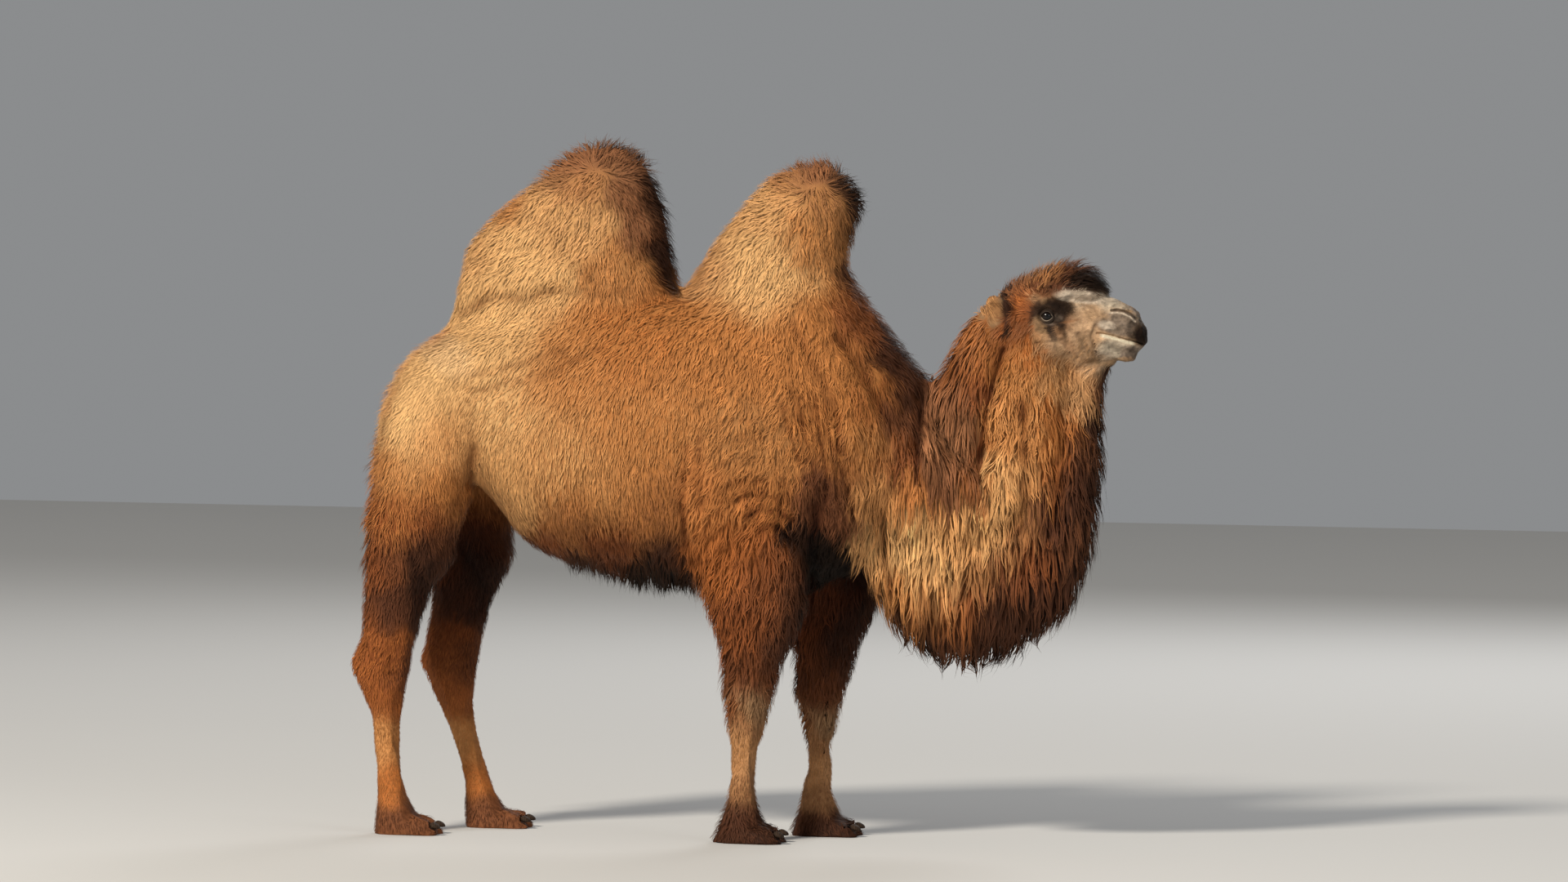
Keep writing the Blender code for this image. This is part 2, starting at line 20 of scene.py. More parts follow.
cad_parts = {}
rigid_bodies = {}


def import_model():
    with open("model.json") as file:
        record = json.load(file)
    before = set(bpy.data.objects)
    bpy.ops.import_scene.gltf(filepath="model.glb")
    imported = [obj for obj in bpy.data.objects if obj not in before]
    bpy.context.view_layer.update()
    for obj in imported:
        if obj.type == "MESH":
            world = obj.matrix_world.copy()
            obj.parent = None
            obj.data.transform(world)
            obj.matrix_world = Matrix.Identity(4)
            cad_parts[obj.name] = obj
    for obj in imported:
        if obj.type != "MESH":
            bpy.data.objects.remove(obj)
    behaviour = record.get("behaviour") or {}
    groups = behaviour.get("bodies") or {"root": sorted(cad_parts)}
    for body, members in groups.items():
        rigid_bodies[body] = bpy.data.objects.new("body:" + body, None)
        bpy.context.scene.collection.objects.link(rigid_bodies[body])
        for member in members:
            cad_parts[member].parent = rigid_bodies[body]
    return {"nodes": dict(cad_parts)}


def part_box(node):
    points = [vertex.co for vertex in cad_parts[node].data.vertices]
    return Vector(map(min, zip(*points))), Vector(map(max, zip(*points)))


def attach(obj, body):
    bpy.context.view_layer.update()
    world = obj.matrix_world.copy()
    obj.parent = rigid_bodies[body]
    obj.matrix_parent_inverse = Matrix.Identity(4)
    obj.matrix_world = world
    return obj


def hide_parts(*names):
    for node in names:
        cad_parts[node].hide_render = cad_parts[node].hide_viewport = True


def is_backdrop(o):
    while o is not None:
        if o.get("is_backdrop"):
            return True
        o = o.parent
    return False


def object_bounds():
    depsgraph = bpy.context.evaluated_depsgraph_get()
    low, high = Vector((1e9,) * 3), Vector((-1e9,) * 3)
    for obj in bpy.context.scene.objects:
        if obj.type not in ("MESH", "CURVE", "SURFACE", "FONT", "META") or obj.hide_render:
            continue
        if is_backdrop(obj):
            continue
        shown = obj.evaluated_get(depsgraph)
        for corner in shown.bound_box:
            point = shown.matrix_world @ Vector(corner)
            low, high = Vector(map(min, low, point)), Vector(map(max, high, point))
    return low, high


for left_over in list(bpy.data.objects):
    bpy.data.objects.remove(left_over)
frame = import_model()
CAD_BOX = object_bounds()
RANDOM = np.random.default_rng(7)

# ---------------------------------------------------------------- sizes
BRIDGE = 0.0007  # closes the thin cuts between the solids
SKIN_GRID = 0.0055  # grain of the surface round the solids
SKIN_TRIANGLES = 102000  # before the face is refined
DEPTH_FLAT = 0.15  # coat depth as a share of the hair's length where the coat lies flat
DEPTH_LIFT = 0.55  # and what its lift adds
DEPTH_MOST = 0.032
RING_STEPS = (0.044, 0.053, 0.080)  # lock lengths from which a piece's locks bend once more
LOCK_RIDGE = 0.42  # a lock's thickness as a share of half its width
INNER_SHADE = 0.75  # painted shade: how much darker the coat is between the legs, where the body shades it
STRAYS = 0.12  # share of thin hairs that stand further out where the coat lies flat
SPIKY_LIFT = 0.75  # from this lift on the locks draw together into broad spikes
LOCK_SINK = 0.0012  # how deep a lock's root sits in the skin
FLOOR_GAP = 0.004  # how far a lock's middle stays above the floor
EDGE_GAP = 0.0015  # and its edges
DRIFT = 0.020  # how far the coat's places wander on the body
FINE_HEAD = 0.22  # how much narrower the locks of the head are
SHORT_HAIR = 0.011  # longest hair on the face under the topknot's edge
SOFTNESS = 0.76  # how far the coat takes its shading from the form under it
ROOT_SHADE = 0.68  # painted shade: how dark long hair is at its root
FOLD_SHADE = 0.76  # painted shade: how much darker the coat is at the bottom of a fold
SHADE_TINT = np.array((0.90, 1.0, 1.06))  # shaded hair stays warm
BAKE_PATCH = 0.003  # width of a lock's patch on the skin's unwrap
EYE_LOW, EYE_HIGH = (np.array(corner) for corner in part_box("eye_left"))
EYE_MIDDLE = (EYE_LOW + EYE_HIGH) / 2
EYE_RADIUS = float((EYE_HIGH - EYE_LOW)[2]) / 2
EYE_TILT = math.radians(-6)
LID_LENGTH = 0.0190  # half the opening between the lids
LID_UPPER = 0.0150  # how high it reaches over the eye's middle
LID_LOWER = 0.0130  # and how low under it
LID_COLOURED = 1.25  # eye radii to the edge of the dark lids
LID_BARE = 1.12  # eye radii in which no lock starts

# ---------------------------------------------------------------- colours, linear
TAN = (0.56, 0.25, 0.085)
GOLD = (0.80, 0.46, 0.19)
PALE = (0.72, 0.38, 0.145)
FAWN = (0.60, 0.31, 0.13)
AMBER = (0.53, 0.205, 0.058)
FOX = (0.47, 0.150, 0.036)
RUST = (0.30, 0.088, 0.024)
UMBER = (0.21, 0.075, 0.030)
BROWN = (0.115, 0.040, 0.018)
DARK = (0.048, 0.019, 0.010)
BLACK = (0.015, 0.0075, 0.0042)
FACE = (0.52, 0.325, 0.185)
ASH = (0.42, 0.345, 0.255)
MUZZLE = (0.195, 0.146, 0.108)
CREAM = (0.66, 0.58, 0.42)
BONE = (0.62, 0.50, 0.38)
STONE = (0.13, 0.092, 0.068)
CLAY = (0.34, 0.20, 0.10)
HAZEL = (0.27, 0.12, 0.050)
SMOKE = (0.034, 0.022, 0.016)
HONEY = (0.70, 0.32, 0.112)
COCOA = (0.33, 0.140, 0.060)
SIENNA = (0.20, 0.062, 0.020)
SAND = (0.46, 0.225, 0.095)
FLAME = (0.68, 0.25, 0.075)

# ---------------------------------------------------------------- the coat by place
# x, z, reach, colour, hair length, lie (x, z), lift, wave, tip colour
# The coat anywhere is the blend of the places round it, the same on both sides. A place is where
# the camera sees it on the middle plane.
PLACES = (
    # rump, thigh and hind leg
    (-1.06, 1.44, 0.12, GOLD, 0.023, (-0.5, -1.0), 0.18, 0.2, GOLD),
    (-0.99, 1.54, 0.05, GOLD, 0.026, (-0.5, -1.0), 0.20, 0.2, PALE),
    (-1.01, 1.580, 0.034, FOX, 0.045, (-1.0, -0.2), 0.70, 0.3, FOX),
    (-1.075, 1.552, 0.036, FOX, 0.055, (-1.0, -0.2), 0.85, 0.3, FOX),
    (-1.14, 1.502, 0.040, FOX, 0.058, (-1.0, -0.3), 0.90, 0.3, FOX),
    (-1.18, 1.425, 0.045, FOX, 0.060, (-1.0, -0.4), 0.90, 0.3, FOX),
    (-1.21, 1.345, 0.045, FOX, 0.060, (-1.0, -0.5), 0.90, 0.3, RUST),
    (-1.225, 1.262, 0.045, FOX, 0.060, (-1.0, -0.6), 0.90, 0.3, RUST),
    (-1.235, 1.165, 0.045, FOX, 0.060, (-0.9, -0.8), 0.85, 0.3, RUST),
    (-1.24, 1.060, 0.050, FOX, 0.060, (-0.7, -1.0), 0.70, 0.4, RUST),
    (-1.10, 1.30, 0.10, GOLD, 0.023, (-0.3, -1.0), 0.15, 0.2, GOLD),
    (-1.00, 1.25, 0.10, HONEY, 0.023, (-0.1, -1.0), 0.15, 0.2, PALE),
    (-1.12, 1.13, 0.08, TAN, 0.028, (-0.1, -1.0), 0.20, 0.4, AMBER),
    (-1.18, 1.17, 0.05, TAN, 0.034, (-0.3, -1.0), 0.25, 0.4, AMBER),
    (-1.08, 1.06, 0.05, AMBER, 0.034, (0.0, -1.0), 0.24, 0.5, RUST),
    (-0.98, 1.10, 0.07, AMBER, 0.032, (0.1, -1.0), 0.22, 0.5, AMBER),
    (-0.93, 1.04, 0.05, AMBER, 0.042, (0.3, -1.0), 0.30, 0.5, UMBER),
    (-1.14, 1.00, 0.07, RUST, 0.038, (0.0, -1.0), 0.25, 0.5, AMBER),
    (-1.04, 1.01, 0.06, RUST, 0.040, (0.1, -1.0), 0.28, 0.6, UMBER),
    # lower thigh and stifle: dark brown hair, deepened as painted shade
    (-1.18, 0.86, 0.06, SIENNA, 0.040, (0.0, -1.0), 0.28, 0.5, RUST),
    (-1.11, 0.88, 0.06, UMBER, 0.042, (0.0, -1.0), 0.32, 0.6, BROWN),
    (-1.03, 0.90, 0.06, BROWN, 0.045, (0.1, -1.0), 0.40, 0.8, DARK),
    (-0.96, 0.93, 0.05, UMBER, 0.050, (0.3, -1.0), 0.42, 0.7, BROWN),
    (-1.05, 0.80, 0.06, DARK, 0.040, (0.1, -1.0), 0.35, 0.8, BROWN),
    (-1.14, 0.74, 0.07, BROWN, 0.032, (-0.1, -1.0), 0.28, 0.5, BROWN),
    (-1.02, 0.70, 0.06, DARK, 0.030, (0.1, -1.0), 0.28, 0.5, BROWN),
    (-1.21, 0.70, 0.04, SIENNA, 0.030, (-0.1, -1.0), 0.28, 0.5, RUST),
    (-1.17, 0.56, 0.08, RUST, 0.022, (-0.2, -1.0), 0.35, 0.5, FOX),
    (-1.09, 0.52, 0.06, BROWN, 0.022, (0.0, -1.0), 0.25, 0.5, RUST),
    (-1.13, 0.42, 0.07, RUST, 0.016, (0.1, -1.0), 0.18, 0.3, FOX),
    (-1.15, 0.28, 0.07, TAN, 0.012, (0.0, -1.0), 0.15, 0.2, AMBER),
    (-1.09, 0.28, 0.05, AMBER, 0.012, (0.0, -1.0), 0.15, 0.2, FOX),
    (-1.12, 0.16, 0.06, FOX, 0.012, (0.0, -1.0), 0.15, 0.2, AMBER),
    (-1.08, 0.05, 0.05, UMBER, 0.018, (0.3, -1.0), 0.35, 0.3, BROWN),
    (-1.16, 0.04, 0.04, UMBER, 0.020, (0.2, -1.0), 0.35, 0.4, BROWN),
    # flank and belly
    (-0.82, 1.58, 0.14, GOLD, 0.030, (-0.3, -1.0), 0.18, 0.3, PALE),
    (-0.80, 1.35, 0.13, GOLD, 0.026, (-0.5, -1.0), 0.16, 0.2, TAN),
    (-0.80, 1.16, 0.09, PALE, 0.026, (-0.1, -1.0), 0.16, 0.2, TAN),
    (-0.74, 1.04, 0.06, PALE, 0.030, (0.2, -1.0), 0.16, 0.2, TAN),
    (-0.62, 1.22, 0.14, TAN, 0.032, (0.0, -1.0), 0.18, 0.3, PALE),
    (-0.60, 1.48, 0.14, AMBER, 0.034, (-0.3, -1.0), 0.20, 0.3, TAN),
    (-0.58, 1.04, 0.08, AMBER, 0.038, (0.1, -1.0), 0.25, 0.5, UMBER),
    (-0.66, 0.94, 0.05, RUST, 0.045, (0.1, -1.0), 0.38, 0.7, UMBER),
    (-0.45, 0.95, 0.06, RUST, 0.050, (0.1, -1.0), 0.42, 0.8, BROWN),
    (-0.52, 0.86, 0.06, BROWN, 0.062, (0.1, -1.0), 0.70, 0.8, DARK),
    (-0.36, 0.81, 0.06, BLACK, 0.075, (0.1, -1.0), 0.75, 0.8, DARK),
    (-0.24, 0.84, 0.06, BLACK, 0.070, (0.1, -1.0), 0.75, 0.8, DARK),
    (-0.26, 0.94, 0.05, BROWN, 0.048, (0.1, -1.0), 0.35, 0.7, DARK),
    (-0.30, 1.08, 0.10, AMBER, 0.040, (0.1, -1.0), 0.22, 0.4, UMBER),
    (-0.45, 1.12, 0.09, TAN, 0.036, (0.1, -1.0), 0.20, 0.4, AMBER),
    (-0.35, 1.32, 0.15, AMBER, 0.034, (-0.1, -1.0), 0.18, 0.3, TAN),
    (-0.38, 1.56, 0.12, AMBER, 0.036, (-0.2, -1.0), 0.22, 0.4, FOX),
    # humps
    (-0.75, 1.80, 0.13, GOLD, 0.034, (-0.5, -1.0), 0.28, 0.4, PALE),
    (-0.90, 1.86, 0.08, PALE, 0.038, (-0.6, -0.8), 0.45, 0.5, FAWN),
    (-0.80, 2.00, 0.05, TAN, 0.040, (-0.6, -0.2), 0.50, 0.5, AMBER),
    (-0.60, 1.95, 0.11, PALE, 0.036, (-0.4, -1.0), 0.32, 0.4, FAWN),
    (-0.56, 2.05, 0.06, TAN, 0.038, (-0.3, -1.0), 0.40, 0.5, COCOA),
    (-0.62, 2.15, 0.09, COCOA, 0.046, (-0.5, 0.4), 0.70, 0.6, UMBER),
    (-0.45, 2.17, 0.08, COCOA, 0.050, (0.4, 0.5), 0.75, 0.6, BROWN),
    # front edge of the rear hump: dark hair, deepened as painted shade
    (-0.33, 2.05, 0.06, DARK, 0.050, (0.5, -0.6), 0.65, 0.7, BLACK),
    (-0.27, 1.88, 0.07, DARK, 0.048, (0.5, -1.0), 0.55, 0.7, BLACK),
    (-0.38, 1.92, 0.05, COCOA, 0.038, (0.1, -1.0), 0.35, 0.5, UMBER),
    (-0.40, 2.03, 0.05, COCOA, 0.042, (0.3, -0.8), 0.45, 0.6, UMBER),
    (-0.45, 1.80, 0.08, TAN, 0.036, (0.0, -1.0), 0.28, 0.5, AMBER),
    (-0.14, 1.82, 0.07, FAWN, 0.036, (-0.6, -0.6), 0.40, 0.5, TAN),
    (0.02, 1.80, 0.12, GOLD, 0.036, (-0.3, -1.0), 0.28, 0.5, PALE),
    (0.02, 2.02, 0.10, PALE, 0.038, (-0.5, -0.3), 0.45, 0.5, FAWN),
    (0.10, 2.09, 0.05, TAN, 0.042, (-0.4, 0.1), 0.55, 0.5, COCOA),
    (0.22, 2.03, 0.05, TAN, 0.040, (0.1, -0.8), 0.40, 0.6, COCOA),
    (0.17, 2.14, 0.08, COCOA, 0.048, (-0.1, 0.5), 0.70, 0.6, UMBER),
    # front edge of the front hump: dark hair, deepened as painted shade
    (0.32, 2.08, 0.06, DARK, 0.050, (0.6, 0.2), 0.65, 0.6, BLACK),
    (0.36, 1.95, 0.06, DARK, 0.048, (0.5, -0.7), 0.55, 0.6, BLACK),
    (0.20, 1.92, 0.09, TAN, 0.038, (-0.1, -1.0), 0.30, 0.6, AMBER),
    (0.36, 1.81, 0.06, BROWN, 0.050, (0.3, -1.0), 0.45, 0.7, UMBER),
    # shoulder and foreleg
    (-0.05, 1.55, 0.13, AMBER, 0.042, (-0.2, -1.0), 0.24, 0.7, AMBER),
    (0.18, 1.60, 0.11, AMBER, 0.044, (-0.1, -1.0), 0.26, 0.8, AMBER),
    (0.32, 1.66, 0.07, RUST, 0.055, (0.2, -1.0), 0.35, 0.8, UMBER),
    (0.45, 1.60, 0.06, BROWN, 0.060, (0.4, -1.0), 0.45, 0.8, DARK),
    (0.00, 1.27, 0.12, TAN, 0.044, (-0.4, -1.0), 0.24, 0.8, AMBER),
    (0.20, 1.38, 0.10, AMBER, 0.055, (0.0, -1.0), 0.26, 1.0, AMBER),
    (0.24, 1.10, 0.07, UMBER, 0.050, (0.0, -1.0), 0.28, 0.7, BROWN),
    (0.31, 1.02, 0.05, UMBER, 0.050, (0.0, -1.0), 0.30, 0.7, BROWN),
    (0.30, 1.20, 0.06, AMBER, 0.050, (0.0, -1.0), 0.25, 0.7, UMBER),
    (-0.12, 1.10, 0.10, FLAME, 0.052, (-0.6, -1.0), 0.28, 0.8, AMBER),
    (0.03, 1.10, 0.08, AMBER, 0.060, (-0.4, -1.0), 0.32, 1.0, RUST),
    # painted shade: the chest behind the elbow, near black
    (0.15, 0.99, 0.04, BLACK, 0.060, (-0.2, -1.0), 0.45, 1.0, DARK),
    (0.23, 0.93, 0.05, BLACK, 0.050, (0.0, -1.0), 0.40, 0.8, BLACK),
    (0.31, 0.86, 0.05, BLACK, 0.050, (0.0, -1.0), 0.40, 0.8, BLACK),
    (0.36, 0.76, 0.05, BLACK, 0.050, (0.0, -1.0), 0.40, 0.8, BLACK),
    (-0.08, 0.92, 0.10, FOX, 0.065, (-0.3, -1.0), 0.30, 0.9, RUST),
    (0.04, 0.86, 0.09, RUST, 0.070, (-0.1, -1.0), 0.30, 0.9, UMBER),
    (0.16, 0.82, 0.06, BROWN, 0.065, (0.1, -1.0), 0.35, 0.8, DARK),
    (0.22, 0.72, 0.05, DARK, 0.050, (0.1, -1.0), 0.35, 0.8, BLACK),
    (-0.03, 0.70, 0.08, SIENNA, 0.065, (0.0, -1.0), 0.28, 0.8, RUST),
    (0.10, 0.64, 0.07, BROWN, 0.060, (0.1, -1.0), 0.28, 0.8, DARK),
    (0.02, 0.56, 0.06, SIENNA, 0.050, (0.1, -1.0), 0.28, 0.6, BROWN),
    (0.02, 0.46, 0.05, COCOA, 0.042, (0.0, -1.0), 0.45, 0.5, CLAY),
    (0.02, 0.38, 0.05, SAND, 0.026, (0.0, -1.0), 0.35, 0.4, COCOA),
    (-0.03, 0.42, 0.035, SIENNA, 0.040, (-0.3, -1.0), 0.50, 0.6, RUST),
    (-0.01, 0.28, 0.05, SAND, 0.014, (0.0, -1.0), 0.15, 0.2, TAN),
    (0.04, 0.26, 0.04, SAND, 0.012, (0.0, -1.0), 0.15, 0.2, FAWN),
    (0.01, 0.17, 0.05, SAND, 0.020, (0.0, -1.0), 0.35, 0.3, UMBER),
    (0.00, 0.09, 0.05, BROWN, 0.034, (0.1, -1.0), 0.55, 0.5, DARK),
    (0.06, 0.05, 0.06, DARK, 0.026, (0.5, -1.0), 0.45, 0.4, BROWN),
    # neck, mane and beard
    (0.50, 1.46, 0.05, BROWN, 0.070, (0.3, -1.0), 0.28, 0.5, DARK),
    (0.46, 1.36, 0.05, UMBER, 0.065, (0.1, -1.0), 0.28, 0.6, BROWN),
    (0.45, 1.24, 0.05, RUST, 0.070, (0.1, -1.0), 0.26, 0.7, UMBER),
    (0.37, 1.42, 0.06, AMBER, 0.055, (-0.1, -1.0), 0.28, 0.7, RUST),
    (0.36, 1.28, 0.07, AMBER, 0.060, (-0.1, -1.0), 0.26, 0.8, TAN),
    (0.40, 1.12, 0.07, HONEY, 0.075, (-0.1, -1.0), 0.25, 0.9, TAN),
    (0.52, 1.12, 0.05, FLAME, 0.080, (0.0, -1.0), 0.25, 0.8, AMBER),
    (0.40, 0.97, 0.06, GOLD, 0.095, (0.0, -1.0), 0.25, 0.7, HONEY),
    (0.52, 0.98, 0.08, GOLD, 0.105, (0.0, -1.0), 0.25, 0.7, PALE),
    (0.64, 0.99, 0.08, HONEY, 0.100, (0.0, -1.0), 0.25, 0.8, PALE),
    (0.62, 0.89, 0.07, GOLD, 0.115, (0.0, -1.0), 0.28, 0.6, HONEY),
    (0.60, 0.82, 0.05, HONEY, 0.120, (0.0, -1.0), 0.30, 0.6, UMBER),
    (0.70, 0.84, 0.05, RUST, 0.120, (0.1, -1.0), 0.32, 0.7, BROWN),
    (0.46, 0.85, 0.06, HONEY, 0.120, (0.0, -1.0), 0.30, 0.6, AMBER),
    (0.55, 0.78, 0.07, AMBER, 0.125, (0.0, -1.0), 0.30, 0.6, BROWN),
    (0.47, 0.74, 0.05, UMBER, 0.120, (0.0, -1.0), 0.35, 0.6, DARK),
    (0.56, 0.67, 0.06, BROWN, 0.130, (0.0, -1.0), 0.40, 0.6, BLACK),
    (0.66, 0.76, 0.06, FOX, 0.125, (0.0, -1.0), 0.32, 0.6, BROWN),
    (0.68, 0.64, 0.07, UMBER, 0.130, (0.0, -1.0), 0.42, 0.6, DARK),
    (0.62, 1.45, 0.06, UMBER, 0.100, (0.0, -1.0), 0.20, 0.2, COCOA),
    (0.64, 1.32, 0.06, COCOA, 0.110, (0.0, -1.0), 0.20, 0.2, COCOA),
    (0.64, 1.20, 0.06, COCOA, 0.110, (0.05, -1.0), 0.22, 0.2, UMBER),
    (0.70, 1.60, 0.05, FOX, 0.060, (-0.5, -1.0), 0.28, 0.3, COCOA),
    (0.67, 1.54, 0.05, BROWN, 0.080, (-0.3, -1.0), 0.24, 0.3, FOX),
    (0.75, 1.56, 0.05, AMBER, 0.060, (-0.2, -1.0), 0.25, 0.4, RUST),
    (0.73, 1.44, 0.04, RUST, 0.080, (-0.1, -1.0), 0.25, 0.4, UMBER),
    (0.72, 1.28, 0.04, RUST, 0.090, (0.0, -1.0), 0.25, 0.4, UMBER),
    (0.72, 1.15, 0.04, FOX, 0.090, (0.0, -1.0), 0.25, 0.5, UMBER),
    (0.83, 1.47, 0.05, AMBER, 0.045, (0.0, -1.0), 0.34, 1.2, TAN),
    (0.79, 1.36, 0.05, AMBER, 0.055, (0.0, -1.0), 0.32, 1.2, HONEY),
    (0.87, 1.34, 0.07, AMBER, 0.070, (0.1, -1.0), 0.28, 1.0, HONEY),
    (0.80, 1.20, 0.06, HONEY, 0.085, (0.0, -1.0), 0.28, 0.9, GOLD),
    (0.88, 1.18, 0.06, HONEY, 0.095, (0.2, -1.0), 0.28, 0.9, HONEY),
    (0.76, 1.05, 0.07, GOLD, 0.100, (0.0, -1.0), 0.28, 0.8, HONEY),
    (0.85, 1.03, 0.06, TAN, 0.110, (0.2, -1.0), 0.28, 0.8, UMBER),
    (0.73, 0.91, 0.06, TAN, 0.115, (0.1, -1.0), 0.30, 0.7, BROWN),
    (0.83, 0.90, 0.05, SIENNA, 0.120, (0.2, -1.0), 0.32, 0.7, BROWN),
    (0.78, 0.78, 0.06, BROWN, 0.125, (0.1, -1.0), 0.36, 0.7, DARK),
    (0.80, 0.66, 0.07, BROWN, 0.130, (0.1, -1.0), 0.42, 0.7, BLACK),
    (0.96, 1.20, 0.05, FOX, 0.100, (0.2, -1.0), 0.28, 0.8, BROWN),
    # front of the beard: dark brown hair, deepened as painted shade on the side turned from the light
    (0.95, 1.07, 0.05, BROWN, 0.110, (0.3, -1.0), 0.30, 0.8, BROWN),
    (0.92, 0.94, 0.06, BROWN, 0.120, (0.2, -1.0), 0.34, 0.8, RUST),
    (0.91, 0.78, 0.06, DARK, 0.125, (0.2, -1.0), 0.40, 0.7, BROWN),
    (1.01, 0.86, 0.06, DARK, 0.120, (0.2, -1.0), 0.40, 0.7, BROWN),
    (1.03, 1.02, 0.06, DARK, 0.120, (0.2, -1.0), 0.34, 0.7, UMBER),
    (1.05, 1.17, 0.05, BROWN, 0.110, (0.2, -1.0), 0.30, 0.7, DARK),
    (1.11, 1.00, 0.06, DARK, 0.115, (0.2, -1.0), 0.34, 0.7, BLACK),
    (1.12, 1.18, 0.05, DARK, 0.100, (0.1, -1.0), 0.30, 0.7, BLACK),
    (0.98, 1.34, 0.06, FOX, 0.080, (0.2, -1.0), 0.26, 0.8, AMBER),
    (1.04, 1.30, 0.04, UMBER, 0.085, (0.2, -1.0), 0.28, 0.8, DARK),
    (1.10, 1.33, 0.04, DARK, 0.085, (0.1, -1.0), 0.28, 0.7, DARK),
    (1.15, 1.33, 0.04, DARK, 0.085, (0.1, -1.0), 0.30, 0.7, BLACK),
    (1.04, 1.44, 0.05, FAWN, 0.060, (0.1, -1.0), 0.28, 0.7, FAWN),
    (1.10, 1.44, 0.03, UMBER, 0.060, (0.1, -1.0), 0.28, 0.6, BROWN),
    (1.15, 1.45, 0.04, DARK, 0.060, (0.1, -1.0), 0.32, 0.6, BLACK),
    (1.15, 1.50, 0.025, DARK, 0.050, (0.0, -1.0), 0.30, 0.5, BLACK),
    # head
    (0.98, 1.49, 0.06, TAN, 0.045, (0.1, -1.0), 0.30, 1.0, FAWN),
    (0.89, 1.56, 0.05, FOX, 0.036, (-0.1, -1.0), 0.28, 0.8, TAN),
    (0.77, 1.70, 0.03, CLAY, 0.030, (-0.5, 1.0), 0.50, 0.3, FAWN),
    (0.81, 1.70, 0.018, DARK, 0.026, (-0.2, 1.0), 0.50, 0.3, BROWN),
    (0.85, 1.64, 0.04, RUST, 0.030, (-0.6, -1.0), 0.25, 0.5, COCOA),
    (0.87, 1.71, 0.035, RUST, 0.028, (-0.8, 0.3), 0.26, 0.4, FOX),
    (0.96, 1.68, 0.05, CLAY, 0.009, (-1.0, -0.1), 0.06, 0.2, CLAY),
    (0.98, 1.60, 0.05, FACE, 0.012, (-0.8, -0.5), 0.12, 0.3, FACE),
    (1.07, 1.68, 0.06, FACE, 0.008, (-1.0, 0.1), 0.04, 0.1, FACE),
    (1.13, 1.73, 0.04, ASH, 0.008, (-1.0, 0.1), 0.04, 0.1, ASH),
    (1.05, 1.725, 0.03, ASH, 0.009, (-1.0, 0.1), 0.05, 0.1, FACE),
    (1.00, 1.744, 0.018, BONE, 0.01, (-1.0, 0.2), 0.08, 0.1, ASH),
    (1.06, 1.741, 0.018, BONE, 0.009, (-1.0, 0.1), 0.05, 0.1, ASH),
    (1.12, 1.738, 0.020, BONE, 0.008, (-1.0, 0.1), 0.04, 0.1, ASH),
    # lower edge of the topknot: dark hair, deepened as painted shadow under it
    (0.94, 1.757, 0.018, BROWN, 0.026, (0.5, 0.8), 0.35, 0.4, DARK),
    (1.00, 1.768, 0.014, DARK, 0.024, (0.9, 0.4), 0.30, 0.4, BLACK),
    (1.06, 1.768, 0.014, DARK, 0.024, (0.9, 0.2), 0.30, 0.4, BLACK),
    (1.12, 1.766, 0.014, DARK, 0.024, (0.9, 0.0), 0.30, 0.4, BLACK),
    (0.90, 1.725, 0.018, CLAY, 0.014, (-0.8, 0.5), 0.15, 0.2, FACE),
    (1.06, 1.55, 0.05, FACE, 0.018, (-0.6, -0.8), 0.25, 0.3, FAWN),
    (1.18, 1.67, 0.05, CLAY, 0.006, (-1.0, 0.1), 0.02, 0.1, MUZZLE),
    (1.16, 1.56, 0.04, ASH, 0.009, (-0.8, -0.4), 0.06, 0.1, ASH),
    # topknot and tail
    (0.83, 1.77, 0.04, UMBER, 0.050, (-0.3, 1.0), 0.55, 0.6, COCOA),
    (0.92, 1.80, 0.05, UMBER, 0.060, (0.3, 1.0), 0.60, 0.6, TAN),
    (1.00, 1.84, 0.05, BROWN, 0.065, (0.7, 0.8), 0.60, 0.7, UMBER),
    (1.06, 1.84, 0.04, BROWN, 0.060, (1.0, 0.1), 0.50, 0.7, DARK),
    (1.11, 1.80, 0.05, DARK, 0.055, (0.8, -0.8), 0.40, 0.7, BLACK),
    (0.97, 1.775, 0.025, BROWN, 0.036, (0.6, 0.6), 0.30, 0.6, UMBER),
    (1.03, 1.780, 0.030, DARK, 0.04, (0.9, 0.2), 0.30, 0.6, BLACK),
    (1.09, 1.775, 0.028, DARK, 0.04, (0.9, 0.0), 0.30, 0.6, BLACK),
    (-1.24, 1.10, 0.05, RUST, 0.070, (0.0, -1.0), 0.30, 0.5, FOX),
    (-1.24, 0.90, 0.05, RUST, 0.070, (0.0, -1.0), 0.35, 0.5, BROWN),
)
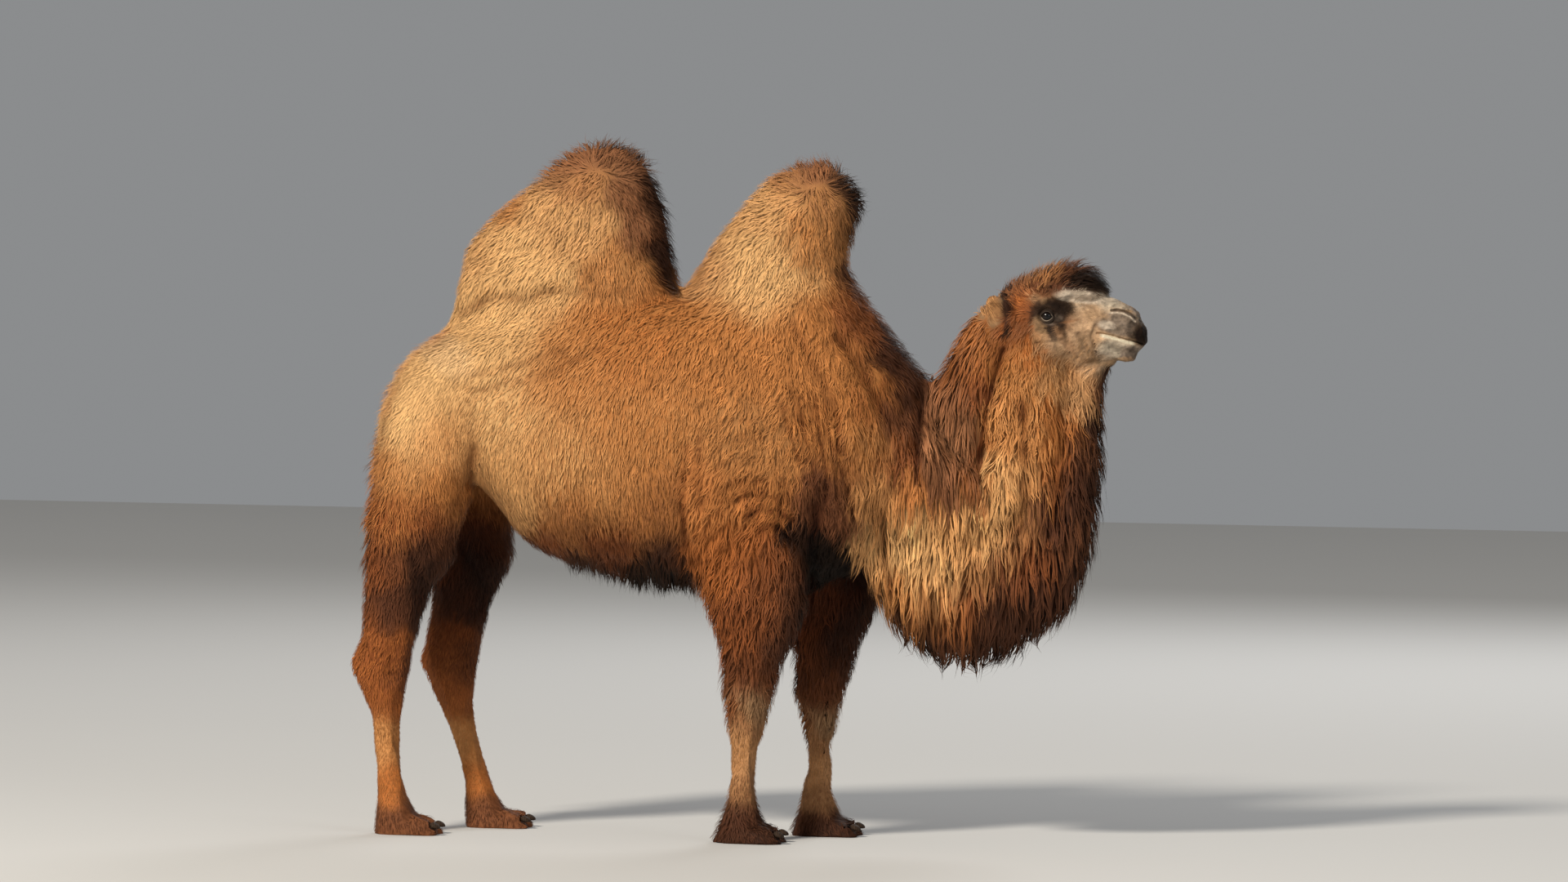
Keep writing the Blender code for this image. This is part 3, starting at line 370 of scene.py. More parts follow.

# Small markings with an edge, some of them painted shade or a painted highlight: x, z, half length, half
# height, turn in degrees, colour, strength
MARKS = (
    (0.948, 1.674, 0.074, 0.062, 0, UMBER, 0.55),  # round the eye
    (0.948, 1.682, 0.062, 0.048, 0, SMOKE, 0.90),
    (0.912, 1.660, 0.020, 0.018, 30, CLAY, 0.55),  # paler lids
    (0.940, 1.653, 0.022, 0.006, 0, STONE, 0.80),
    (0.974, 1.674, 0.014, 0.012, 0, STONE, 0.80),
    (0.927, 1.724, 0.013, 0.009, 40, CLAY, 0.45),
    (0.984, 1.709, 0.042, 0.031, -10, BLACK, 0.90),
    (0.900, 1.698, 0.010, 0.034, -25, BLACK, 0.70),
    (0.930, 1.636, 0.028, 0.015, -8, BLACK, 0.85),
    (0.958, 1.620, 0.012, 0.026, 25, SMOKE, 0.75),  # the tear line under it
    (0.969, 1.634, 0.006, 0.018, 10, CLAY, 0.35),
    (0.984, 1.648, 0.012, 0.024, 10, SMOKE, 0.50),
    (1.012, 1.662, 0.034, 0.004, 12, HAZEL, 0.55),
    (0.915, 1.610, 0.026, 0.050, 0, CLAY, 0.60),
    (1.000, 1.600, 0.050, 0.016, -50, HAZEL, 0.40),  # cheek fold
    (0.985, 1.560, 0.030, 0.020, -30, CLAY, 0.35),
    (1.060, 1.590, 0.030, 0.040, -30, CLAY, 0.25),
    (1.085, 1.690, 0.050, 0.026, -30, CLAY, 0.40),
    (1.060, 1.738, 0.090, 0.018, -4, BONE, 0.80),  # bridge of the nose
    (1.160, 1.716, 0.045, 0.010, -14, ASH, 0.70),
    (1.185, 1.672, 0.052, 0.026, -14, MUZZLE, 0.92),  # side of the muzzle
    (1.160, 1.644, 0.066, 0.024, -14, MUZZLE, 0.90),
    (1.220, 1.640, 0.030, 0.040, 0, SMOKE, 0.70),
    (1.246, 1.620, 0.030, 0.036, 0, BLACK, 0.98),  # tip of the upper lip
    (1.232, 1.690, 0.024, 0.026, -40, MUZZLE, 0.85),  # tip of the nose
    (1.130, 1.652, 0.026, 0.014, -10, BONE, 0.70),  # back of the upper lip
    (1.222, 1.566, 0.032, 0.020, 20, MUZZLE, 0.80),  # lower lip
    (1.148, 1.574, 0.050, 0.026, -6, ASH, 0.75),  # chin
    (1.130, 1.556, 0.028, 0.014, -16, BONE, 0.75),
    # painted shade on the front of the chin
    (1.202, 1.562, 0.030, 0.026, 10, STONE, 0.85),
    (1.110, 1.545, 0.050, 0.018, -10, CLAY, 0.55),
    (1.165, 1.538, 0.050, 0.012, 12, CLAY, 0.70),
    (1.150, 1.505, 0.030, 0.022, 0, DARK, 0.90),  # shade under the chin
    (1.060, 1.792, 0.080, 0.026, 2, BLACK, 0.90),  # painted shadow under the topknot
    (0.760, 1.700, 0.030, 0.045, 20, TAN, 0.55),  # back of the ear
    (0.810, 1.705, 0.014, 0.058, 4, DARK, 0.95),  # front edge of the ear
    (0.815, 1.630, 0.014, 0.018, 0, BLACK, 0.95),  # painted shade in the mouth of the ear
    (0.030, 0.430, 0.034, 0.055, 10, CLAY, 0.60),  # worn front of the knee
    (-1.050, 0.850, 0.050, 0.070, 0, DARK, 0.60),  # painted shade over the stifle
    (-0.980, 1.530, 0.110, 0.060, -30, CREAM, 0.14),  # painted highlight on the top of the rump
    (0.255, 0.880, 0.070, 0.120, 28, BLACK, 0.96),  # shade behind the elbow
    (0.335, 0.800, 0.070, 0.100, 25, BLACK, 0.96),
    (0.170, 0.990, 0.050, 0.030, -20, DARK, 0.80),
    (-0.300, 1.850, 0.030, 0.110, 8, DARK, 0.60),  # front edge of the rear hump: dark hair, deepened as painted shade
    (0.340, 1.960, 0.032, 0.110, -6, DARK, 0.60),  # front edge of the front hump: dark hair, deepened as painted shade
)
NOSTRIL = ((1.143, 1.700), (1.165, 1.701), (1.184, 1.698), (1.206, 1.688), (1.222, 1.674))
MOUTH = ((1.098, 1.626), (1.125, 1.623), (1.155, 1.616), (1.190, 1.607), (1.217, 1.600), (1.262, 1.590))

# Folds of the body: line, width, depth of the groove, how far the swelling beside it lies and its height
FOLDS = (
    (((-0.93, 1.655), (-0.84, 1.705), (-0.74, 1.700), (-0.64, 1.728)), 0.018, 0.009, (0, 0.05), 0.014),
    (((-0.64, 1.728), (-0.50, 1.716), (-0.38, 1.738)), 0.014, 0.006, (0, 0.05), 0.008),
    (((-0.908, 1.42), (-0.892, 1.330), (-0.884, 1.220)), 0.014, 0.004, (0.05, 0), 0.006),
    (((-0.885, 1.220), (-0.893, 1.160), (-0.898, 1.110)), 0.016, 0.012, (0.05, 0.00), 0.006),
    (((-1.000, 1.425), (-0.975, 1.300), (-0.955, 1.202)), 0.008, 0.004, (0.02, 0), 0.003),
    (((-0.975, 1.440), (-0.952, 1.320), (-0.930, 1.230)), 0.007, 0.004, (0.02, 0), 0.003),
    (((-0.945, 1.454), (-0.925, 1.350), (-0.899, 1.259)), 0.008, 0.005, (-0.02, 0), 0.003),
    (((-0.888, 1.455), (-0.750, 1.490), (-0.606, 1.538)), 0.014, 0.006, (0, 0.03), 0.004),
    (((-0.887, 1.399), (-0.661, 1.459), (-0.493, 1.540)), 0.014, 0.006, (0, -0.03), 0.004),
    (((-0.206, 1.230), (-0.217, 1.076), (-0.201, 0.937)), 0.014, 0.011, (0.05, 0), 0.010),
    (((-0.160, 1.290), (-0.165, 1.180), (-0.150, 1.060)), 0.012, 0.009, (0.02, 0), 0.004),
    (((0.215, 1.060), (0.200, 0.950), (0.190, 0.790)), 0.026, 0.026, (0.07, 0), 0.006),
    (((-0.080, 1.125), (-0.022, 1.140), (0.040, 1.145), (0.098, 1.130)), 0.008, 0.016, (0, 0.02), 0.012),
    (((-0.040, 1.080), (0.003, 1.098), (0.060, 1.098), (0.123, 1.077)), 0.009, 0.015, (0, 0.02), 0.011),
    (((-0.010, 1.030), (0.040, 1.051), (0.090, 1.045), (0.136, 1.017)), 0.010, 0.015, (0, 0.02), 0.011),
    (((0.030, 0.985), (0.064, 1.000), (0.100, 0.990), (0.135, 0.957)), 0.012, 0.014, (0, 0.02), 0.011),
    (((-0.090, 1.190), (-0.040, 1.212), (0.030, 1.210)), 0.008, 0.007, (0, 0.02), 0.007),
    (((-0.100, 1.240), (-0.050, 1.270), (0.040, 1.275)), 0.008, 0.006, (0, 0.02), 0.006),
    (((-0.110, 1.300), (-0.060, 1.330), (0.020, 1.335)), 0.008, 0.005, (0, 0.02), 0.006),
    (((-0.170, 1.270), (-0.178, 1.160), (-0.168, 1.040)), 0.006, 0.007, (0.015, 0), 0.004),
    (((0.120, 1.440), (0.142, 1.320), (0.178, 1.200)), 0.006, 0.008, (0.012, 0), 0.005),
    (((0.180, 1.420), (0.192, 1.300), (0.222, 1.170)), 0.006, 0.009, (0.012, 0), 0.005),
    (((0.232, 1.390), (0.250, 1.270), (0.272, 1.150), (0.280, 1.060)), 0.007, 0.010, (0.012, 0), 0.005),
    (((0.090, 1.400), (0.120, 1.300), (0.150, 1.220), (0.183, 1.137)), 0.009, 0.012, (0.02, 0), 0.011),
    (((0.150, 1.400), (0.165, 1.300), (0.195, 1.200), (0.212, 1.110)), 0.009, 0.012, (0.02, 0), 0.011),
    (((0.202, 1.400), (0.215, 1.290), (0.240, 1.180), (0.240, 1.079)), 0.009, 0.013, (0.02, 0), 0.011),
    (((0.276, 1.306), (0.280, 1.200), (0.310, 1.120), (0.328, 1.033)), 0.011, 0.014, (0.03, 0), 0.011),
    (((0.260, 1.600), (0.353, 1.480), (0.430, 1.340)), 0.016, 0.009, (-0.03, 0), 0.004),
    (((0.125, 1.640), (0.184, 1.530), (0.260, 1.380), (0.300, 1.240)), 0.016, 0.008, (0.03, 0), 0.004),
    (((0.545, 1.430), (0.530, 1.300), (0.530, 1.150)), 0.014, 0.012, (0.05, 0), 0.008),
    (((0.530, 1.150), (0.628, 1.100), (0.704, 1.095)), 0.012, 0.006, (0, 0.05), 0.008),
    (((0.630, 1.090), (0.640, 1.040), (0.620, 0.980)), 0.008, 0.006, (0.02, 0), 0.003),
    (((0.733, 1.137), (0.734, 1.290), (0.765, 1.440), (0.800, 1.570)), 0.014, 0.014, (-0.05, 0), 0.010),
    (((0.420, 1.050), (0.440, 0.900), (0.470, 0.780)), 0.020, 0.010, (0.05, 0), 0.006),
    (((0.860, 1.400), (0.880, 1.200), (0.860, 0.980)), 0.022, 0.010, (-0.05, 0), 0.006),
    (((1.000, 1.380), (1.000, 1.180), (0.960, 0.980)), 0.022, 0.010, (-0.05, 0), 0.006),
    (((-1.093, 0.919), (-1.049, 0.807), (-1.062, 0.695)), 0.014, 0.008, (0.03, 0), 0.004),
    (((-1.225, 0.590), (-1.170, 0.572), (-1.110, 0.590)), 0.006, 0.006, (0, 0.014), 0.004),
    (((-1.210, 0.552), (-1.160, 0.538), (-1.105, 0.552)), 0.006, 0.006, (0, 0.014), 0.004),
    (((-1.190, 0.515), (-1.150, 0.505), (-1.105, 0.515)), 0.006, 0.005, (0, 0.014), 0.003),
)

# Forms of the face: line, width and height; a groove has a height below nothing
FACE_FORMS = (
    (((0.905, 1.712), (0.940, 1.738), (0.985, 1.733)), 0.013, 0.008),  # brow
    (((0.920, 1.652), (0.955, 1.640), (0.990, 1.652)), 0.009, 0.003),  # under the lower lid
    (((0.985, 1.655), (1.030, 1.645), (1.075, 1.640)), 0.016, 0.006),  # cheek bone
    (((0.920, 1.600), (0.950, 1.560)), 0.035, 0.006),  # jaw muscle
    (((1.190, 1.650), (1.215, 1.640)), 0.022, 0.006),  # pad of the upper lip
    (((1.140, 1.717), (1.180, 1.716), (1.215, 1.700), (1.232, 1.680)), 0.007, 0.005),  # nostril wing
    (((1.150, 1.684), (1.180, 1.682), (1.205, 1.672)), 0.007, 0.003),
    (((1.120, 1.603), (1.160, 1.596), (1.205, 1.584)), 0.009, 0.005),  # lower lip
    (((1.180, 1.555), (1.205, 1.550)), 0.014, 0.005),  # chin
    (((1.060, 1.752), (1.150, 1.744)), 0.014, 0.003),  # bridge
    (((0.970, 1.668), (0.995, 1.640), (1.002, 1.590)), 0.008, -0.006),  # tear groove
    (((0.985, 1.712), (1.020, 1.700), (1.050, 1.670)), 0.012, -0.004),  # before the brow
    (((1.095, 1.650), (1.080, 1.615), (1.092, 1.580)), 0.007, -0.005),  # corner of the mouth
    (((1.120, 1.690), (1.130, 1.655), (1.170, 1.640)), 0.008, -0.003),
    (((1.040, 1.620), (1.070, 1.575), (1.110, 1.550)), 0.010, -0.005),  # under the cheek
    (((1.000, 1.560), (1.060, 1.535), (1.130, 1.535)), 0.008, -0.003),
    (((1.060, 1.700), (1.080, 1.670)), 0.005, -0.002),
    (((1.085, 1.712), (1.105, 1.680)), 0.005, -0.002),
    (((1.140, 1.580), (1.175, 1.570)), 0.006, -0.003),
    (NOSTRIL, 0.0032, -0.006),
    (MOUTH, 0.0030, -0.009),
)

# Where two forms meet in a sharp step or pocket that hair would fill: x, z and reach
POCKETS = (
    (1.150, 1.520, 0.040),  # chin and beard
    (0.445, 0.945, 0.070),  # chest and beard
    (0.590, 1.480, 0.040),  # mane and withers
    (-1.215, 1.330, 0.045),  # down the tail
    (-1.218, 1.250, 0.045),
    (-1.220, 1.160, 0.045),
    (-1.220, 1.070, 0.045),
)

# The lower edge of the topknot, over the bare-looking bridge of the nose
TOPKNOT_EDGE = (
    (0.900, 1.730), (0.917, 1.742), (0.964, 1.757), (1.016, 1.765), (1.068, 1.759), (1.130, 1.752),
)

# How far the left legs stand ahead of the right ones, by height
LEFT_HIND = ((0.0, 0.222), (0.20, 0.200), (0.38, 0.157), (0.52, 0.145), (0.80, 0.150), (1.35, 0.0))
LEFT_FORE = ((0.0, 0.190), (0.20, 0.187), (0.45, 0.175), (0.62, 0.172), (0.80, 0.180), (1.25, 0.0))
ASIDE = 0.1405  # the camera stands ahead of the side: tan 8 degrees
BELOW = 0.0255  # and above it: tan 1.46 degrees
SHIFT_X = -0.0024  # the solids' origin is this far ahead of the point the places count from


# ---------------------------------------------------------------- fields
def lead(table, heights):
    """How far ahead the left leg of that table stands at those heights."""
    levels, ahead = zip(*table)
    return np.interp(heights, levels, ahead)


def blended(first, second, share):
    """The first value with a share of the second in its place."""
    return first * (1 - share) + np.asarray(second) * share


def beside_middle(points):
    """0 on the middle plane, 1 a hand's width to the side of it."""
    return np.clip((np.abs(points[:, 1]) - 0.02) / 0.06, 0, 1)


def own_place(points):
    """Side-view places: a flank's point moves to where the camera sees it on the middle plane, and
    the left legs are drawn back to where the right ones stand. The left fore leg's long hair and its
    dark foot end lower."""
    x = points[:, 0] - SHIFT_X
    z = points[:, 2]
    out = np.abs(points[:, 1])
    left = np.clip((points[:, 1] - 0.03) / 0.06, 0, 1)
    behind = np.clip((-0.45 - x) / 0.15, 0, 1)
    before = np.clip((x + 0.35) / 0.15, 0, 1) * np.clip((0.62 - x) / 0.1, 0, 1)
    x = x - left * (behind * lead(LEFT_HIND, z) + before * lead(LEFT_FORE, z))
    lowered = left * before * np.interp(z, (0.0, 0.10, 0.42, 0.65), (0.0, 0.06, 0.07, 0.0))
    return np.stack([x - ASIDE * out, z - BELOW * out + lowered], 1)


def under_topknot(place):
    """1 on the face below the topknot's edge, 0 above it and off the head."""
    along, height = zip(*TOPKNOT_EDGE)
    gap = np.interp(place[:, 0], along, height) - place[:, 1]
    ahead = np.clip((place[:, 0] - 0.885) / 0.02, 0, 1)
    return np.clip(gap / 0.006, 0, 1) * ahead * (place[:, 1] > 1.60)


def coat_at(points):
    """The coat's traits at points, as arrays: colour, tip colour, length, lie, lift and wave, and
    how fine its locks are."""
    head = np.clip((points[:, 0] - 0.80) / 0.06, 0, 1) * np.clip((points[:, 2] - 1.44) / 0.05, 0, 1)
    loose = (1 - head)[:, None] * DRIFT
    drift = np.stack([mottle(points, 0.11, 61), mottle(points, 0.13, 62)], 1)
    place = own_place(points) + loose * drift
    total = np.zeros(len(points)) + 1e-30
    sums = {key: 0.0 for key in ("colour", "length", "lie", "lift", "wave", "tip")}
    for x, z, reach, colour, length, lie, lift, wave, tip in PLACES:
        off = ((place[:, 0] - x) ** 2 + (place[:, 1] - z) ** 2) / reach**2
        weight = np.exp(-np.minimum(1.6 * off, 60)) + 1e-9 / (1 + off) ** 3
        total += weight
        given = {"colour": colour, "tip": tip, "lie": lie, "length": length, "lift": lift, "wave": wave}
        for key, value in given.items():
            sums[key] = sums[key] + weight[:, None] * np.array(value)
    found = {key: value / total[:, None] for key, value in sums.items()}
    for key in ("length", "lift", "wave"):
        found[key] = found[key][:, 0]
    found["fine"] = 1 - FINE_HEAD * head
    short = under_topknot(place)
    found["length"] = blended(found["length"], np.minimum(found["length"], SHORT_HAIR), short)
    found["lift"] = found["lift"] * (1 - 0.8 * short)
    return found


def inside(place, x, z, half_length, half_height, turn):
    """1 in a turned ellipse, 0 outside it, soft at the edge."""
    angle = math.radians(turn)
    across = place[:, 0] - x
    up = place[:, 1] - z
    along = across * math.cos(angle) + up * math.sin(angle)
    over = up * math.cos(angle) - across * math.sin(angle)
    far = np.sqrt((along / half_length) ** 2 + (over / half_height) ** 2)
    return np.clip((1.25 - far) / 0.5, 0, 1)


def from_line(place, line):
    """Distance from side-view places to a bent line."""
    nearest = np.full(len(place), 9.0)
    for start, end in zip(line, line[1:]):
        start, end = np.array(start), np.array(end)
        along = end - start
        share = np.clip((place - start) @ along / (along @ along), 0, 1)
        gap = np.linalg.norm(place - start - share[:, None] * along, axis=1)
        nearest = np.minimum(nearest, gap)
    return nearest


@cache
def waves(seed):
    """Crossed waves for smooth noise: their headings and phases."""
    source = np.random.default_rng(seed)
    heading = source.normal(size=(14, 3))
    heading /= np.linalg.norm(heading, axis=1, keepdims=True)
    return heading * source.uniform(0.7, 1.6, (14, 1)), source.uniform(0, 6.3, 14)


def mottle(points, size, seed):
    """Smooth noise of about -1 to 1 from crossed waves of that size."""
    heading, phase = waves(seed)
    return np.sin(points @ heading.T * (6.283 / size) + phase).mean(1) * 2.6


def marked(points, colour):
    """The colours with the small markings laid over them and painted shade between the legs."""
    place = own_place(points)
    for x, z, half_length, half_height, turn, mark, strength in MARKS:
        share = inside(place, x, z, half_length, half_height, turn)[:, None] * strength
        colour = blended(colour, mark, share)
    # painted shade between the legs
    colour = colour * (1 - INNER_SHADE * inner_leg(points)[:, None] * SHADE_TINT)
    return face_shades(points, place, colour)


def crease(points):
    """How deep in a fold of the body points are: 0 outside, 1 at the bottom of the deepest."""
    place = own_place(points)
    deep = np.zeros(len(points))
    for line, width, groove, _, _ in FOLDS:
        near = np.exp(-((from_line(place, line) / width) ** 2)) * (1 + 0.35 * mottle(points, 0.09, 42))
        deep = np.maximum(deep, near * min(groove / 0.014, 1.0))
    return np.clip(deep, 0, 1) * beside_middle(points) * (1 - face_share(points))


def face_shades(points, place, colour):
    """The blotches of the face, painted shade in its grooves and in the nostril's slit, and the
    nostril's pale lower rim.
    """
    face = face_share(points)
    blotch = 0.16 * mottle(points, 0.020, 51) + 0.14 * mottle(points, 0.045, 52)
    colour = colour * (1 + face * np.clip(blotch, -0.35, 0.30))[:, None]
    # painted shade in the face's grooves
    for line, width, height in FACE_FORMS:
        if height < 0 and line not in (MOUTH, NOSTRIL):
            near = np.exp(-((from_line(place, line) / (1.2 * width)) ** 2)) * face
            colour = colour * (1 - np.clip(-height * 75 * near, 0, 0.5))[:, None]
    aside = face * (np.abs(points[:, 1]) > 0.008) * (place[:, 0] > 1.10)
    # painted shade in the nostril's slit
    slit = np.clip(1.7 - from_line(place, NOSTRIL) / 0.0034, 0, 1) * aside
    lower = tuple((x - 0.003, z - 0.0085) for x, z in NOSTRIL)
    rim = np.exp(-((from_line(place, lower) / 0.0028) ** 2)) * aside
    colour = blended(colour, BONE, (rim * 0.80)[:, None])
    return blended(colour, SMOKE, (slit * 0.60)[:, None])


def inner_leg(points):
    """1 on the sides of the upper legs that face each other and under the belly between them, where the
    coat gets painted shade.
    """
    height = np.interp(points[:, 2], (0.40, 0.62, 1.00, 1.15), (0, 1, 1, 0))
    inward = np.interp(np.abs(points[:, 1]), (0.10, 0.24), (1, 0))
    return height * inward * (points[:, 0] < 0.35)


def lips(points, colour):
    """A pale band along the mouth."""
    place = own_place(points)
    lower = tuple((x, z - 0.0055) for x, z in MOUTH)
    wide = 0.0042 * (1 + 0.30 * mottle(points, 0.022, 53))
    near = np.clip(1.7 - from_line(place, lower) / wide, 0, 1)
    back = np.clip((1.222 - place[:, 0]) / 0.012, 0, 1) * np.clip((place[:, 0] - 1.104) / 0.012, 0, 1)
    share = (near * back * (np.abs(points[:, 1]) > 0.01))[:, None] * 0.9
    return blended(colour, CREAM, share)


# ---------------------------------------------------------------- mesh helpers
def mesh_arrays(mesh):
    """A mesh's points and triangles as arrays."""
    mesh.calc_loop_triangles()
    points = np.empty(len(mesh.vertices) * 3, np.float64)
    mesh.vertices.foreach_get("co", points)
    corners = np.empty(len(mesh.loop_triangles) * 3, np.int64)
    mesh.loop_triangles.foreach_get("vertices", corners)
    return points.reshape(-1, 3), corners.reshape(-1, 3)


def welded_solid(name):
    """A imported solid's points and triangles, its doubled points joined."""
    points, triangles = mesh_arrays(frame["nodes"][name].data)
    points, joined = np.unique(np.round(points, 5), axis=0, return_inverse=True)
    return points, joined.reshape(-1)[triangles]


def mesh_from(name, points, triangles):
    """A mesh of those points and triangles."""
    mesh = bpy.data.meshes.new(name)
    mesh.vertices.add(len(points))
    mesh.vertices.foreach_set("co", np.asarray(points, np.float32).ravel())
    mesh.loops.add(len(triangles) * 3)
    mesh.loops.foreach_set("vertex_index", np.asarray(triangles, np.int32).ravel())
    mesh.polygons.add(len(triangles))
    mesh.polygons.foreach_set("loop_start", np.arange(0, len(triangles) * 3, 3, dtype=np.int32))
    mesh.update(calc_edges=True)
    return mesh


def link(name, mesh):
    """An object of that mesh in the scene."""
    obj = bpy.data.objects.new(name, mesh)
    bpy.context.scene.collection.objects.link(obj)
    return obj


def vertex_normals(points, triangles):
    """Smooth normals, weighted by area."""
    a, b, c = (points[triangles[:, i]] for i in range(3))
    face = np.cross(b - a, c - a)
    total = np.zeros_like(points)
    for i in range(3):
        np.add.at(total, triangles[:, i], face)
    return total / np.maximum(np.linalg.norm(total, axis=1, keepdims=True), 1e-12)


def relaxed(points, triangles, rounds, share, push_back=0.0):
    """Points drawn towards the mean of their neighbours; share says how far, point by point.
    push_back returns that much of each step, so that thin parts keep their thickness."""
    pairs = np.vstack([triangles[:, [0, 1]], triangles[:, [1, 2]], triangles[:, [2, 0]]])
    pairs = np.vstack([pairs, pairs[:, ::-1]])
    count = np.maximum(np.bincount(pairs[:, 0], minlength=len(points)), 1)[:, None]
    for _ in range(rounds):
        for step in (1.0, -push_back):
            if step:
                near = points[pairs[:, 1]]
                sums = [np.bincount(pairs[:, 0], near[:, k], len(points)) for k in range(3)]
                points = points + step * share[:, None] * (np.stack(sums, 1) / count - points)
    return points


def settle(obj):
    """Applies the object's modifiers."""
    bpy.context.view_layer.update()
    graph = bpy.context.evaluated_depsgraph_get()
    mesh = bpy.data.meshes.new_from_object(obj.evaluated_get(graph))
    obj.modifiers.clear()
    obj.data = mesh
    return obj


def paint(mesh, name, values):
    """Stores a colour for each point."""
    layer = mesh.attributes.new(name, "FLOAT_COLOR", "POINT")
    filled = np.ones((len(values), 4), np.float32)
    filled[:, :3] = values
    layer.data.foreach_set("color", filled.ravel())


def store(mesh, name, values):
    """Stores a number for each point."""
    layer = mesh.attributes.new(name, "FLOAT", "POINT")
    layer.data.foreach_set("value", np.asarray(values, np.float32))


# ---------------------------------------------------------------- skin
SEPARATE = ("eye_", "nail")


def flesh_nodes():
    """The nodes that the skin stands in for."""
    return [n for n in frame["nodes"] if not any(word in n for word in SEPARATE)]


def form():
    """One closed surface round the solids, its thin cuts bridged."""
    every_point, every_triangle, start = [], [], 0
    for name in flesh_nodes():
        points, triangles = welded_solid(name)
        points = points + vertex_normals(points, triangles) * BRIDGE
        every_point.append(points)
        every_triangle.append(triangles + start)
        start += len(points)
    obj = link("skin", mesh_from("skin", np.vstack(every_point), np.vstack(every_triangle)))
    fuse = obj.modifiers.new("fuse", "REMESH")
    fuse.mode = "VOXEL"
    fuse.voxel_size = SKIN_GRID
    settle(obj)
    return obj


def face_share(points):
    """1 on the face, 0 on the body, softly between."""
    ahead = points[:, 0] - 0.80 + 0.9 * (points[:, 2] - 1.62)
    high = (points[:, 2] - 1.44) / 0.05
    low_crown = (1.80 - points[:, 2]) / 0.04
    return np.clip(ahead / 0.05, 0, 1) * np.clip(high, 0, 1) * np.clip(low_crown, 0, 1)


def thin_out(obj, triangles):
    """Brings the body down to about that many triangles and leaves the face whole."""
    points, _ = mesh_arrays(obj.data)
    weight = 1.0 - 0.995 * face_share(points)
    group = obj.vertex_groups.new(name="body")
    for level in np.linspace(0, 1, 11):
        near = np.nonzero(np.abs(weight - level) <= 0.0501)[0]
        group.add(near.tolist(), float(level), "REPLACE")
    whole = len(obj.data.loop_triangles)
    thin = obj.modifiers.new("thin", "DECIMATE")
    thin.ratio = triangles / whole
    thin.vertex_group = "body"
    thin.use_collapse_triangulate = True
    settle(obj)
    obj.vertex_groups.clear()


def refine(obj, wanted):
    """Splits each triangle that touches the wanted points in four."""
    made = bmesh.new()
    made.from_mesh(obj.data)
    made.verts.ensure_lookup_table()
    flags = wanted(np.array([v.co for v in made.verts]))
    edges = [e for e in made.edges if flags[e.verts[0].index] and flags[e.verts[1].index]]
    bmesh.ops.subdivide_edges(made, edges=edges, cuts=1, use_grid_fill=False)
    bmesh.ops.triangulate(made, faces=made.faces)
    made.to_mesh(obj.data)
    made.free()


def near_eye(points, reach):
    """Which points lie within reach of an eye's middle, on either side."""
    off = np.abs(points) * np.array((0, 1, 0)) + points * np.array((1, 0, 1)) - EYE_MIDDLE
    return np.linalg.norm(off, axis=1) < reach


def on_face(points):
    """Which points lie on the face ahead of the ears."""
    return (face_share(points) > 0.5) & (points[:, 0] > 0.86)


def on_detail(points):
    """Lips, nostrils and lids, which need the finest mesh."""
    place = own_place(points)
    lines = np.minimum(from_line(place, MOUTH), from_line(place, NOSTRIL))
    return (lines < 0.011) & (face_share(points) > 0.5) | near_eye(points, 0.034)


def swell(points, triangles, share, line, width, height):
    """Points moved out along a bent line seen from the side, or in where height is negative."""
    amount = np.exp(-((from_line(own_place(points), line) / width) ** 2)) * height * share
    amount = amount * (1 + 0.35 * mottle(points, 0.13, 41))
    return points + vertex_normals(points, triangles) * amount[:, None]


def sculpt_face(points, triangles):
    """Brow, cheek, nostrils, lips and the folds between them."""
    share = face_share(points) * np.clip((np.abs(points[:, 1]) - 0.004) / 0.012, 0, 1)
    for line, width, height in FACE_FORMS:
        points = swell(points, triangles, share, line, width, height)
    rough = 0.0007 * mottle(points, 0.016, 54) + 0.0010 * mottle(points, 0.034, 55)
    return points + vertex_normals(points, triangles) * (rough * face_share(points))[:, None]


def sculpt_body(points, triangles, traits):
    """The folds of the body, and the uneven ridges of the wool."""
    share = (1 - face_share(points)) * beside_middle(points)
    for line, width, groove, (along, up), height in FOLDS:
        points = swell(points, triangles, share, line, width, -groove)
        beside = tuple((x + along, z + up) for x, z in line)
        points = swell(points, triangles, share, beside, abs(along) + abs(up), height)
    rough = np.clip(traits["length"] / 0.04, 0, 1.6) * (1 - face_share(points))
    ridges = 0.0040 * streaks(points) * (0.3 + traits["wave"])
    amount = rough * (ridges + 0.0045 * mottle(points, 0.12, 21))
    return points + vertex_normals(points, triangles) * amount[:, None]


def streaks(points):
    """Ridges of wool running down the body, of about -1 to 1."""
    squeezed = points * np.array((1, 1, 0.26))
    return 0.6 * mottle(squeezed, 0.040, 31) + 0.4 * mottle(squeezed, 0.023, 32)


def eye_opening(points, side):
    """How far points lie outside the almond opening between the lids, how far from the eye's axis,
    and how far outward of the eye's middle."""
    off = points - EYE_MIDDLE * np.array((1, side, 1))
    level = off[:, 0] * math.cos(EYE_TILT) + off[:, 2] * math.sin(EYE_TILT)
    upright = off[:, 2] * math.cos(EYE_TILT) - off[:, 0] * math.sin(EYE_TILT)
    half_height = np.where(upright > 0, LID_UPPER, LID_LOWER) * (1 - (level / LID_LENGTH) ** 2)
    gap = np.abs(upright) - half_height
    gap = np.where(np.abs(level) > LID_LENGTH, np.maximum(gap, np.abs(level) - LID_LENGTH), gap)
    return gap, np.hypot(level, upright), off[:, 1] * side


